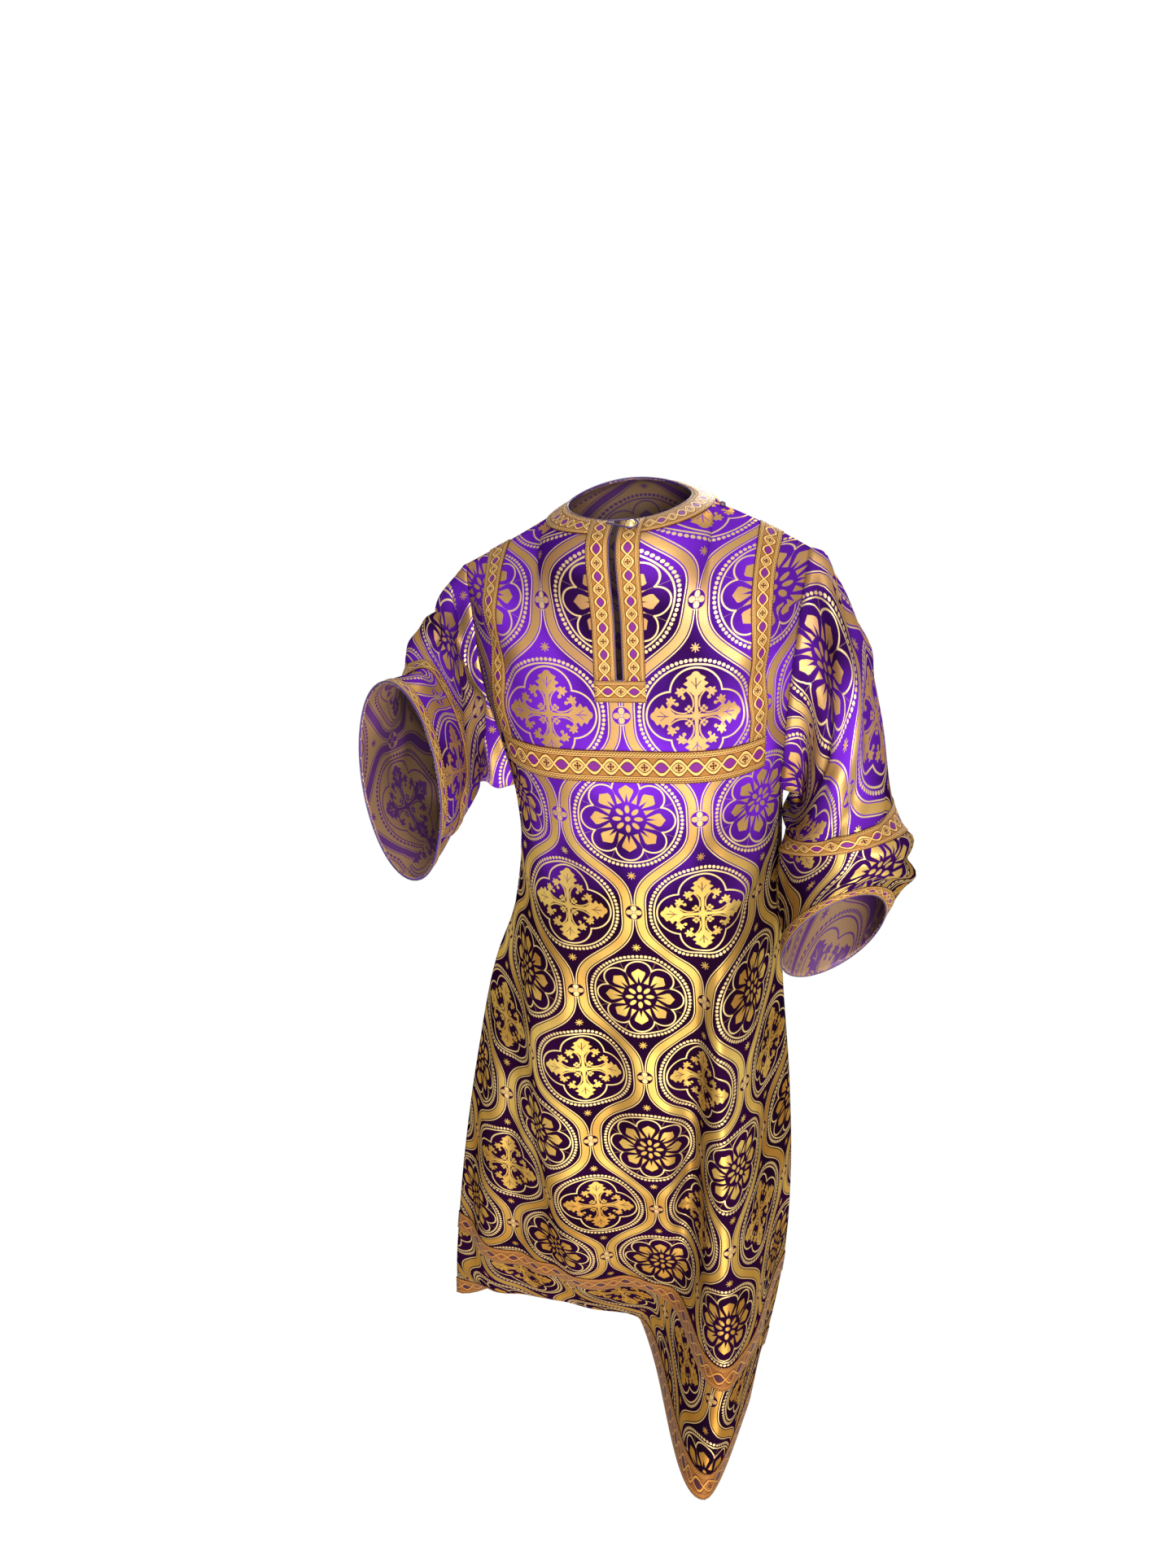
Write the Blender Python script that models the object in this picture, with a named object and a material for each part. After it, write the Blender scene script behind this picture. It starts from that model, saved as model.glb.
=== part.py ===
# Dalmatic: a wide-sleeved tunic, worn, with its front, back, sleeves and galloon as separate walls.
# Frame: metres, +Z up, the wearer faces -Y, the origin is the middle of the neck at the shoulders.
import math

import bpy
import numpy as np

# Wall thicknesses and the gap kept between touching pieces
CLOTH = 0.002
GALLOON = 0.0012
GAP = 0.0003

# Trim widths
NARROW = 0.025
WIDE = 0.040

# Cut of the yoke
SLIT_HALF = 0.004
NECK_HALF = 0.070
NECK_FRONT = 0.080
NECK_BACK = 0.058
YOKE_OUTER = 0.170
YOKE_INNER = YOKE_OUTER - NARROW
SHOULDER_HALF = 0.200

# The shoulder of the raised arm hangs lower. Rise at the neck, drop at the end, how it bends
# between them, and how steeply the cloth leaves it.
SHOULDERS = {
    -1: (0.008, 0.070, 0.9, -0.40),
    1: (0.012, 0.060, 1.3, -0.30),
}

# Heights of the edges that the trim follows
RING_TOP = -0.100
SLIT_END = -0.160
FOOT_END = SLIT_END - NARROW
YOKE_TOP = -0.243
YOKE_BOTTOM = YOKE_TOP - WIDE
UNDERARM = -0.335
VENT_END = -0.535
SKIRT_TOP = -1.170
SKIRT_BOTTOM = SKIRT_TOP - WIDE
HEM = -1.380
HEM_TOP = HEM + WIDE

# The left front of the hem rolls under itself
TUCK_START = -1.310
TUCK_ANGLE = math.radians(125)
TUCK_LEFT = -0.390
TUCK_RIGHT = -0.030
TUCK_STEPS = 12
TUCK_TOWARDS = (-0.11, 0.13)

LEVELS = (
    [RING_TOP, SLIT_END, FOOT_END, (FOOT_END + YOKE_TOP) / 2, YOKE_TOP, YOKE_BOTTOM, UNDERARM]
    + [UNDERARM + (VENT_END - UNDERARM) * k / 4 for k in range(1, 4)]
    + [VENT_END + (SKIRT_TOP - VENT_END) * k / 9 for k in range(10)]
    + [SKIRT_BOTTOM + (HEM_TOP - SKIRT_BOTTOM) * k / 3 for k in range(4)]
    + [HEM_TOP - WIDE / 2, HEM]
)
TOP_SHARES = (0.33, 0.67)

# Columns of the panels, measured out from the centre line
COLUMNS = (
    SLIT_HALF, SLIT_HALF + NARROW, 0.045, 0.061, 0.078, NECK_HALF + NARROW, 0.112, 0.129,
    YOKE_INNER, (YOKE_INNER + YOKE_OUTER) / 2, YOKE_OUTER, 0.185, SHOULDER_HALF,
)
NECK_COLUMN = 5
YOKE_IN_COLUMN = 8
YOKE_OUT_COLUMN = 10
EDGE_COLUMN = len(COLUMNS) - 1

# Sections of the worn cloth, a row for each height: where each panel's two edges lie,
# how square its corners are, and how far its middle stands forward or back.
SECTION = ("z", "left_x", "left_y", "left_square", "right_x", "right_y", "right_square", "middle_y")
FRONT_SECTIONS = (
    (-0.100, -0.193, -0.028, 4.0, 0.193, -0.028, 4.0, -0.113),
    (-0.200, -0.181, -0.050, 4.0, 0.181, -0.046, 4.0, -0.124),
    (-0.283, -0.166, -0.046, 4.0, 0.174, -0.040, 4.0, -0.127),
    (-0.340, -0.160, -0.040, 3.8, 0.169, -0.030, 4.0, -0.127),
    (-0.450, -0.163, -0.036, 3.6, 0.166, -0.020, 4.2, -0.127),
    (-0.540, -0.190, -0.006, 3.2, 0.168, 0.004, 4.5, -0.126),
    (-0.630, -0.228, 0.006, 2.6, 0.170, 0.008, 4.5, -0.124),
    (-0.820, -0.282, 0.012, 2.5, 0.180, 0.010, 4.5, -0.120),
    (-0.990, -0.322, 0.014, 2.8, 0.183, 0.010, 5.0, -0.105),
    (-1.190, -0.362, 0.018, 3.2, 0.172, 0.010, 6.0, -0.066),
    (-1.290, -0.380, 0.022, 4.0, 0.158, 0.006, 6.0, -0.028),
    (-1.380, -0.392, 0.026, 5.0, 0.142, 0.004, 6.0, 0.006),
)
BACK_SECTIONS = (
    (-0.100, -0.193, 0.046, 4.0, 0.193, 0.046, 4.0, 0.098),
    (-0.200, -0.184, 0.052, 4.0, 0.184, 0.052, 4.0, 0.112),
    (-0.283, -0.172, 0.040, 4.0, 0.178, 0.038, 4.0, 0.112),
    (-0.340, -0.164, 0.030, 3.8, 0.171, 0.030, 4.0, 0.108),
    (-0.450, -0.176, 0.014, 3.6, 0.168, 0.018, 4.2, 0.106),
    (-0.540, -0.191, -0.005, 3.2, 0.168, 0.005, 4.0, 0.112),
    (-0.630, -0.228, 0.006, 3.0, 0.170, 0.008, 3.6, 0.124),
    (-0.820, -0.282, 0.012, 2.8, 0.180, 0.010, 3.2, 0.148),
    (-0.990, -0.322, 0.014, 2.8, 0.183, 0.010, 3.0, 0.170),
    (-1.190, -0.362, 0.018, 2.8, 0.172, 0.010, 3.0, 0.196),
    (-1.290, -0.380, 0.022, 2.8, 0.158, 0.006, 3.0, 0.208),
    (-1.380, -0.392, 0.026, 2.8, 0.142, 0.004, 3.0, 0.220),
)

# Folds that hang down the skirt, a row for each height of each fold: where its ridge runs,
# how far it stands out from the section, and how wide it is on its left and on its right.
FOLD = ("z", "ridge_x", "reach", "left_width", "right_width")
FRONT_FOLDS = {
    "pipe": (
        (-0.480, 0.112, 0.000, 0.040, 0.050),
        (-0.620, 0.106, 0.034, 0.036, 0.055),
        (-0.850, 0.108, 0.056, 0.052, 0.062),
        (-1.000, 0.108, 0.082, 0.080, 0.066),
        (-1.190, 0.104, 0.146, 0.120, 0.072),
        (-1.380, 0.074, 0.274, 0.150, 0.092),
    ),
    "valley_by_the_pipe": (
        (-0.600, 0.058, 0.000, 0.030, 0.030),
        (-0.850, 0.054, -0.018, 0.034, 0.030),
        (-1.080, 0.044, -0.020, 0.036, 0.040),
        (-1.250, 0.020, 0.000, 0.040, 0.050),
    ),
    "ridge_at_the_left": (
        (-0.480, -0.146, 0.000, 0.030, 0.070),
        (-0.620, -0.150, 0.022, 0.034, 0.090),
        (-0.850, -0.146, 0.026, 0.040, 0.100),
        (-1.080, -0.140, 0.022, 0.046, 0.100),
        (-1.300, -0.130, 0.006, 0.060, 0.100),
    ),
    "soft_left_edge": (
        (-0.600, -0.230, 0.000, 0.040, 0.040),
        (-0.850, -0.244, 0.014, 0.040, 0.040),
        (-1.190, -0.290, 0.016, 0.060, 0.060),
        (-1.380, -0.320, 0.008, 0.060, 0.060),
    ),
}
BACK_FOLDS = {
    "left_pipe": (
        (-0.540, -0.150, 0.000, 0.045, 0.045),
        (-0.900, -0.178, 0.026, 0.055, 0.060),
        (-1.380, -0.236, 0.056, 0.070, 0.075),
    ),
    "middle_left_pipe": (
        (-0.440, -0.058, 0.000, 0.040, 0.040),
        (-0.900, -0.066, 0.028, 0.048, 0.052),
        (-1.380, -0.104, 0.062, 0.060, 0.066),
    ),
    "middle_right_pipe": (
        (-0.480, 0.052, 0.000, 0.040, 0.040),
        (-0.900, 0.048, 0.024, 0.050, 0.046),
        (-1.380, 0.024, 0.052, 0.062, 0.056),
    ),
    "right_pipe": (
        (-0.600, 0.122, 0.000, 0.030, 0.028),
        (-0.900, 0.124, 0.018, 0.034, 0.030),
        (-1.380, 0.112, 0.034, 0.040, 0.032),
    ),
}

# Sleeves, a row for each section after the armhole: its middle, the way the sleeve runs there,
# which way its top seam faces, and its half sizes towards that seam and across it.
SLEEVE = ("x", "y", "z", "run_x", "run_y", "run_z", "top_x", "top_y", "top_z", "tall", "deep")
RAISED_SLEEVE = (
    (-0.220, -0.049, -0.216, -0.72, -0.68, -0.10, 0.0, 0.0, 1.0, 0.116, 0.056),
    (-0.226, -0.112, -0.234, -0.56, -0.80, 0.00, 0.0, 0.0, 1.0, 0.102, 0.062),
    (-0.222, -0.165, -0.240, -0.54, -0.84, 0.10, 0.0, 0.0, 1.0, 0.099, 0.068),
    (-0.220, -0.210, -0.233, -0.56, -0.82, 0.10, 0.0, 0.0, 1.0, 0.107, 0.072),
    (-0.224, -0.246, -0.231, -0.57, -0.82, 0.10, 0.0, 0.0, 1.0, 0.113, 0.074),
)
HANGING_SLEEVE = (
    (0.224, -0.002, -0.246, 0.95, 0.00, -0.26, 0.26, 0.0, 0.97, 0.114, 0.074),
    (0.236, -0.004, -0.312, 0.80, -0.04, -0.60, 0.60, 0.0, 0.80, 0.080, 0.090),
    (0.240, -0.012, -0.382, 0.30, -0.22, -0.93, 0.95, 0.1, 0.30, 0.066, 0.098),
    (0.2525, -0.036, -0.440, 0.20, -0.50, -0.84, 0.98, 0.2, 0.10, 0.080, 0.094),
    (0.238, -0.098, -0.500, 0.52, -0.74, -0.42, 0.86, 0.49, 0.17, 0.070, 0.088),
)
# Dents and swellings of the sleeves: place along, place around in degrees from the top seam
# over the front, how far it stands out, and its reach along and around.
CREASE = ("along", "around", "rise", "length", "turn")
RAISED_CREASES = (
    (0.16, 30.0, -0.008, 0.10, 60.0),
    (0.42, 70.0, -0.010, 0.12, 70.0),
    (0.55, 10.0, 0.008, 0.14, 60.0),
    (0.50, 250.0, -0.014, 0.16, 70.0),
)
HANGING_CREASES = (
    (0.80, 40.0, -0.016, 0.10, 60.0),
    (0.90, 10.0, 0.012, 0.10, 50.0),
    (0.30, 60.0, -0.008, 0.12, 60.0),
    (0.62, 95.0, 0.008, 0.14, 60.0),
    (0.55, 250.0, -0.012, 0.14, 70.0),
)
ARMHOLE_EASE = 0.018
SLEEVE_CUT = 0.46
UPPER_BAND_UP = 0.150

# Neck fastening
BUTTON_RADIUS = 0.0064
BUTTON_HEIGHT = 0.0055
BUTTON_STANDS = 0.0008
SHOULDER_BUTTON_RADIUS = 0.004
LOOP_THICK = 0.0020
LOOP_SIDES = 6

COLOURS = {
    "brocade": ((0.20, 0.06, 0.30, 1.0), 0.45, 0.0),
    "galloon": ((0.55, 0.30, 0.08, 1.0), 0.40, 0.2),
    "brass": ((0.80, 0.55, 0.20, 1.0), 0.30, 1.0),
    "cord": ((0.13, 0.04, 0.20, 1.0), 0.60, 0.0),
}


def clear_scene():
    for thing in list(bpy.data.objects):
        bpy.data.objects.remove(thing, do_unlink=True)


def unit(vectors):
    vectors = np.asarray(vectors, dtype=float)
    length = np.linalg.norm(vectors, axis=-1, keepdims=True)
    return vectors / np.maximum(length, 1e-12)


def ease(value):
    value = np.clip(value, 0.0, 1.0)
    return value * value * (3.0 - 2.0 * value)


def smooth_row(table, at, height=0):
    """Reads every column of a table at one value of its first column, on a smooth curve."""
    rows = np.array(table, dtype=float)
    keys = rows[:, height]
    order = np.argsort(keys)
    rows, keys = rows[order], keys[order]
    at = min(max(at, keys[0]), keys[-1])
    slopes = np.gradient(rows, keys, axis=0)
    k = int(np.clip(np.searchsorted(keys, at) - 1, 0, len(keys) - 2))
    span = keys[k + 1] - keys[k]
    t = (at - keys[k]) / span
    h00, h10 = 2 * t**3 - 3 * t**2 + 1, t**3 - 2 * t**2 + t
    h01, h11 = -2 * t**3 + 3 * t**2, t**3 - t**2
    return h00 * rows[k] + h10 * span * slopes[k] + h01 * rows[k + 1] + h11 * span * slopes[k + 1]


def fold_reach(folds, x, z):
    """How far the folds stand out from the section at the places x of one height."""
    total = np.zeros_like(x)
    for rows in folds.values():
        keys = [row[0] for row in rows]
        if z > max(keys):
            continue
        _, ridge, reach, left, right = smooth_row(rows, z)
        if z < min(keys):
            reach = rows[-1][FOLD.index("reach")]
        away = x - ridge
        share = np.abs(away) / np.where(away < 0, left, right)
        total += reach * np.where(share < 1, (1 + np.cos(math.pi * np.minimum(share, 1))) / 2, 0)
    return total


def section(sections, folds, front, z, samples=241):
    """One level line of a panel: points from its left edge to its right, and their distance
    along the cloth from the centre line."""
    row = dict(zip(SECTION, smooth_row(sections, z)))
    x = np.linspace(row["left_x"], row["right_x"], samples)
    share = np.where(x < 0, x / row["left_x"], x / row["right_x"])
    square = np.where(x < 0, row["left_square"], row["right_square"])
    edge = np.where(x < 0, row["left_y"], row["right_y"])
    y = row["middle_y"] + (edge - row["middle_y"]) * share**square
    settle = ease((1 - share) / 0.12)
    y += fold_reach(folds, x, z) * settle * (-1 if front else 1)
    points = np.stack([x, y, np.full_like(x, z)], axis=1)
    steps = np.linalg.norm(np.diff(points, axis=0), axis=1)
    along = np.concatenate([[0], np.cumsum(steps)])
    along -= np.interp(0.0, x, along)
    return points, along


def column_place(index, z, reach):
    """Distance of one column from the centre line on a level line that reaches this far."""
    fixed = COLUMNS[index]
    if index > YOKE_OUT_COLUMN:
        share = (fixed - YOKE_OUTER) / (SHOULDER_HALF - YOKE_OUTER)
        fixed = YOKE_OUTER + share * (reach - YOKE_OUTER)
    even = reach * (0.02 + 0.98 * index / EDGE_COLUMN)
    spread = float(ease((YOKE_BOTTOM - z) / 0.30))
    return fixed + (even - fixed) * spread


def read_level(points, along, place):
    return np.array([np.interp(place, along, points[:, axis]) for axis in range(3)])


def tuck(point, z):
    """Rolls the hem under itself at the left front, fading out at the side and the pipe fold."""
    if z >= TUCK_START:
        return point
    x = point[0]
    weight = float(ease((TUCK_RIGHT - x) / 0.090) * ease((x - TUCK_LEFT) / 0.070))
    towards_x, towards_y = TUCK_TOWARDS
    inward = unit(np.array([(towards_x - x) / 2, towards_y - point[1], 0.0]))
    length = TUCK_START - z
    total = TUCK_START - HEM
    place = point + np.array([0.0, 0.0, length])
    for k in range(TUCK_STEPS):
        turn = TUCK_ANGLE * weight * ((k + 0.5) / TUCK_STEPS * length / total)
        place = place + (inward * math.sin(turn) - np.array([0, 0, math.cos(turn)])) * length / TUCK_STEPS
    return place


def level_points(front, side, z):
    """Points of every column on one level line, on one side of the centre."""
    sections = FRONT_SECTIONS if front else BACK_SECTIONS
    folds = FRONT_FOLDS if front else BACK_FOLDS
    points, along = section(sections, folds, front, z)
    reach = along[-1] if side > 0 else -along[0]
    row = []
    for index in range(len(COLUMNS)):
        place = side * column_place(index, z, reach)
        point = read_level(points, along, place)
        row.append(tuck(point, z) if front else point)
    return np.array(row)


def shoulder_height(x):
    rise, drop, bend, slope = SHOULDERS[-1 if x < 0 else 1]
    share = (abs(x) - NECK_HALF) / (SHOULDER_HALF - NECK_HALF)
    return rise - drop * max(share, 0.0) ** bend


def neck_point(index, side, front, offset):
    """A point of the neckline, or of the line that runs beside it at the width of its trim."""
    half = NECK_HALF + offset
    deep = (NECK_FRONT if front else NECK_BACK) + offset
    first = math.asin((SLIT_HALF + NARROW) / half)
    if index <= 1:
        turn = math.asin(COLUMNS[index] / half)
    else:
        turn = first + (math.pi / 2 - first) * (index - 1) / (NECK_COLUMN - 1)
    x = half * math.sin(turn)
    y = deep * math.cos(turn) * (-1 if front else 1)
    low = (0.006 if front else 0.020) - offset * (0.30 if front else 0.35)
    z = low + (shoulder_height(side * half) - low) * math.sin(turn) ** 2
    return np.array([side * x, y, z])


def half_panel(front, side):
    """Rows of points of half a panel, from the neckline down to the hem, centre outwards."""
    inner_row, outer_row = [], []
    for index, place in enumerate(COLUMNS):
        if index <= NECK_COLUMN:
            inner_row.append(neck_point(index, side, front, 0.0))
            outer_row.append(neck_point(index, side, front, NARROW))
        else:
            point = np.array([side * place, 0.0, shoulder_height(side * place)])
            inner_row.append(point)
            outer_row.append(point)
    rows = [np.array(inner_row), np.array(outer_row)]
    first_level = level_points(front, side, RING_TOP)
    next_level = level_points(front, side, RING_TOP - 0.02)
    forward = -1 if front else 1
    ahead = unit(np.array([0.0, forward, SHOULDERS[side][3]]))
    leave = np.tile(ahead, (len(COLUMNS), 1))
    for index in range(NECK_COLUMN):
        radial = unit(rows[1][index] - rows[0][index])
        leave[index] = unit(radial + (ahead - radial) * (index / NECK_COLUMN) ** 2)
    arrive = unit(next_level - first_level)
    span = np.linalg.norm(first_level - rows[1], axis=1, keepdims=True)
    for t in TOP_SHARES:
        h00, h10 = 2 * t**3 - 3 * t**2 + 1, t**3 - 2 * t**2 + t
        h01, h11 = -2 * t**3 + 3 * t**2, t**3 - t**2
        rows.append(h00 * rows[1] + h10 * span * leave + h01 * first_level + h11 * span * arrive)
    rows.append(first_level)
    for z in LEVELS[1:]:
        rows.append(level_points(front, side, z))
    return np.array(rows)


def panel_grid(front):
    """The whole panel as rows and columns of points, its columns from left to right."""
    left = half_panel(front, -1)[:, ::-1]
    right = half_panel(front, 1)
    return np.concatenate([left, right], axis=1)


def panel_cells(grid, front):
    """Which cells of the grid are cloth: the neck rows are narrow and the slit is open."""
    rows, columns = grid.shape[0] - 1, grid.shape[1] - 1
    cloth = np.ones((rows, columns), dtype=bool)
    middle = len(COLUMNS) - 1
    cloth[0, : middle - NECK_COLUMN] = False
    cloth[0, middle + 1 + NECK_COLUMN :] = False
    if front:
        cloth[: level_row(SLIT_END), middle] = False
    return cloth


def level_row(z):
    """Row number of a level in the panel grids."""
    return 2 + len(TOP_SHARES) + int(np.argmin([abs(level - z) for level in LEVELS]))


def grid_normals(grid, cloth, outward):
    """Normals of the points, from the cells round them, turned to the same side of the cloth."""
    normals = np.zeros_like(grid)
    for i in range(cloth.shape[0]):
        for j in range(cloth.shape[1]):
            if not cloth[i, j]:
                continue
            a, b = grid[i, j], grid[i, j + 1]
            c, d = grid[i + 1, j + 1], grid[i + 1, j]
            face = np.cross(c - a, d - b) * outward
            for point in ((i, j), (i, j + 1), (i + 1, j + 1), (i + 1, j)):
                normals[point] += face
    return unit(normals)


def pulled_in(grid, cloth, amount):
    """Moves the border points of the cloth into it, so that pieces at a seam stay apart."""
    moved = grid.copy()
    rows, columns = grid.shape[:2]

    def is_cloth(i, j):
        return 0 <= i < cloth.shape[0] and 0 <= j < cloth.shape[1] and cloth[i, j]

    for i in range(rows):
        for j in range(columns):
            up = is_cloth(i - 1, j - 1) or is_cloth(i - 1, j)
            down = is_cloth(i, j - 1) or is_cloth(i, j)
            left = is_cloth(i - 1, j - 1) or is_cloth(i, j - 1)
            right = is_cloth(i - 1, j) or is_cloth(i, j)
            shift = np.zeros(3)
            if down and not up:
                shift += unit(grid[i + 1, j] - grid[i, j])
            if up and not down:
                shift += unit(grid[i - 1, j] - grid[i, j])
            if right and not left:
                shift += unit(grid[i, j + 1] - grid[i, j])
            if left and not right:
                shift += unit(grid[i, j - 1] - grid[i, j])
            moved[i, j] += shift * amount
    return moved


def material(kind):
    found = bpy.data.materials.get(kind)
    if found:
        return found
    colour, roughness, metallic = COLOURS[kind]
    made = bpy.data.materials.new(kind)
    made.use_nodes = True
    shader = made.node_tree.nodes["Principled BSDF"]
    shader.inputs["Base Color"].default_value = colour
    shader.inputs["Roughness"].default_value = roughness
    shader.inputs["Metallic"].default_value = metallic
    return made


def add_object(name, points, faces, kind):
    mesh = bpy.data.meshes.new(name)
    mesh.from_pydata([tuple(point) for point in points], [], faces)
    mesh.update()
    mesh.materials.append(material(kind))
    made = bpy.data.objects.new(name, mesh)
    bpy.context.scene.collection.objects.link(made)
    return made


def faces_out(grid, normals, cloth):
    """True when the corners of a cell, taken in order, turn about the normal of the cloth."""
    i, j = np.argwhere(cloth)[len(np.argwhere(cloth)) // 2]
    k = (j + 1) % grid.shape[1]
    face = np.cross(grid[i + 1, k] - grid[i, j], grid[i + 1, j] - grid[i, k])
    return face @ normals[i, j] > 0


def add_wall(name, grid, plan, normals, cloth, below, above, kind, closed=False):
    """A closed wall between two copies of the grid, moved along the normals. Each cell is cut
    along its shorter diagonal in the plan, so that a strip bends just where its panel does."""
    rows, columns = grid.shape[:2]
    in_order = faces_out(grid, normals, cloth)
    used = np.zeros((rows, columns), dtype=bool)
    triangles = []
    border = {}
    for i in range(cloth.shape[0]):
        for j in range(cloth.shape[1]):
            if not cloth[i, j]:
                continue
            k = (j + 1) % columns if closed else j + 1
            corners = [(i, j), (i, k), (i + 1, k), (i + 1, j)]
            if not in_order:
                corners = [corners[0], corners[3], corners[2], corners[1]]
            for corner in corners:
                used[corner] = True
            if np.linalg.norm(plan[i, j] - plan[i + 1, k]) > np.linalg.norm(plan[i, k] - plan[i + 1, j]):
                corners = corners[1:] + corners[:1]
            triangles.append((corners[0], corners[1], corners[2]))
            triangles.append((corners[0], corners[2], corners[3]))
            for start, end in zip(corners, corners[1:] + corners[:1]):
                if (end, start) in border:
                    del border[(end, start)]
                else:
                    border[(start, end)] = True
    number = {tuple(place): n for n, place in enumerate(np.argwhere(used))}
    count = len(number)
    outer = [grid[place] + normals[place] * above for place in number]
    inner = [grid[place] + normals[place] * below for place in number]
    faces = [tuple(number[corner] for corner in face) for face in triangles]
    faces += [tuple(number[corner] + count for corner in reversed(face)) for face in triangles]
    for start, end in border:
        a, b = number[start], number[end]
        faces.append((b, a, a + count))
        faces.append((b, a + count, b + count))
    return add_object(name, outer + inner, faces, kind)


def add_trim(name, grid, normals, closed=False):
    """A strip of galloon that lies on a panel, made from the panel's own points."""
    cells = (grid.shape[0] - 1, grid.shape[1] - (0 if closed else 1))
    cloth = np.ones(cells, dtype=bool)
    if closed:
        moved = grid.copy()
        moved[0] += unit(grid[1] - grid[0]) * GAP
        moved[-1] += unit(grid[-2] - grid[-1]) * GAP
    else:
        moved = pulled_in(grid, cloth, GAP)
    below = CLOTH / 2 + GAP
    return add_wall(name, moved, grid, normals, cloth, below, below + GALLOON, "galloon", closed)


def share_normals(first, second):
    joint = unit(first + second)
    return joint, joint.copy()


def armhole(front, front_normals, back, back_normals, side):
    """The loop that a sleeve is sewn to: from the shoulder down the front edge, under the arm
    and up the back edge."""
    column = -1 if side > 0 else 0
    last = level_row(UNDERARM) + 1
    fore, aft = front[1:last, column], back[1:last, column]
    under = [fore[-1] + (aft[-1] - fore[-1]) * t + np.array([0, 0, -0.006]) for t in (1 / 3, 2 / 3)]
    loop = np.concatenate([fore, under, aft[:0:-1]])
    fore_n, aft_n = front_normals[1:last, column], back_normals[1:last, column]
    below = np.array([[0.0, 0.0, -1.0]] * 2)
    return loop, np.concatenate([fore_n, below, aft_n[:0:-1]])


def sleeve_section(row, turns, side):
    """An oval section of a sleeve, with a point at each turn from its top seam over the front."""
    value = dict(zip(SLEEVE, row))
    run = unit(np.array([value["run_x"], value["run_y"], value["run_z"]]))
    top = np.array([value["top_x"], value["top_y"], value["top_z"]])
    top = unit(top - run * (top @ run))
    fore = np.cross(run, top) * side
    middle = np.array([value["x"], value["y"], value["z"]])
    spread = [top * math.cos(t) * value["tall"] + fore * math.sin(t) * value["deep"] for t in turns]
    return middle + np.array(spread)


def sleeve_grid(loop, table, creases, side):
    """Rings of points from the armhole to the edge of the sleeve."""
    steps = np.linalg.norm(np.diff(np.concatenate([loop, loop[:1]]), axis=0), axis=1)
    turns = 2 * math.pi * np.concatenate([[0], np.cumsum(steps)[:-1]]) / steps.sum()
    eased = loop + np.array([side * ARMHOLE_EASE, 0.0, -0.006])
    knots = np.array([loop, eased] + [sleeve_section(row, turns, side) for row in table])
    middles = knots.mean(axis=1)
    lengths = np.linalg.norm(np.diff(middles, axis=0), axis=1)
    keys = np.concatenate([[0], np.cumsum(lengths)]) / lengths.sum()
    flat = knots.reshape(len(knots), -1)
    table_rows = np.concatenate([keys[:, None], flat], axis=1)
    rings = []
    for t in sleeve_stations():
        ring = smooth_row(table_rows, t)[1:].reshape(-1, 3)
        out = unit(ring - ring.mean(axis=0))
        for row in creases:
            crease = dict(zip(CREASE, row))
            along = abs(t - crease["along"]) / crease["length"]
            around = np.abs((np.degrees(turns) - crease["around"] + 180) % 360 - 180) / crease["turn"]
            if along < 1:
                share = (1 + np.cos(math.pi * np.minimum(around, 1))) / 2
                ring = ring + out * (share * crease["rise"] * (1 + math.cos(math.pi * along)) / 2)[:, None]
        rings.append(ring)
    return np.array(rings)


def sleeve_stations():
    """Places of the rings along a sleeve, with one at each edge of its two bands."""
    band_end = 1 - UPPER_BAND_UP / SLEEVE_CUT
    band_start = band_end - WIDE / SLEEVE_CUT
    edge_start = 1 - NARROW / SLEEVE_CUT
    upper = [band_start * k / 6 for k in range(7)]
    return upper + [band_end] + [band_end + (edge_start - band_end) * k / 3 for k in range(1, 4)] + [1.0]


def ring_normals(rings):
    """Outward normals of closed rings that run one after another."""
    around = np.roll(rings, -1, axis=1) - np.roll(rings, 1, axis=1)
    along = np.gradient(rings, axis=0)
    normals = unit(np.cross(around, along))
    middle = rings.mean(axis=1, keepdims=True)
    if np.sum(normals * (rings - middle)) < 0:
        normals = -normals
    return normals


def turned_shape(name, place, axis, profile, sides, kind):
    """A small turned piece: rings of the profile round an axis, closed at both ends."""
    axis = unit(axis)
    across = unit(np.cross(axis, np.array([0.3, 0.1, 1.0])))
    other = np.cross(axis, across)
    points, faces = [], []
    for radius, height in profile:
        for k in range(sides):
            turn = 2 * math.pi * k / sides
            points.append(place + axis * height + (across * math.cos(turn) + other * math.sin(turn)) * radius)
    for ring in range(len(profile) - 1):
        for k in range(sides):
            a, b = ring * sides + k, ring * sides + (k + 1) % sides
            faces.append((a, b, b + sides, a + sides))
    faces.append(tuple(range(sides))[::-1])
    last = (len(profile) - 1) * sides
    faces.append(tuple(last + k for k in range(sides)))
    return add_object(name, points, faces, kind)


def button_profile(radius, height):
    turns = [math.radians(angle) for angle in (0, 25, 50, 72)]
    dome = [(radius * math.cos(t), height * (0.25 + 0.75 * math.sin(t))) for t in turns]
    return [(radius * 0.86, 0.0)] + dome


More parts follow.
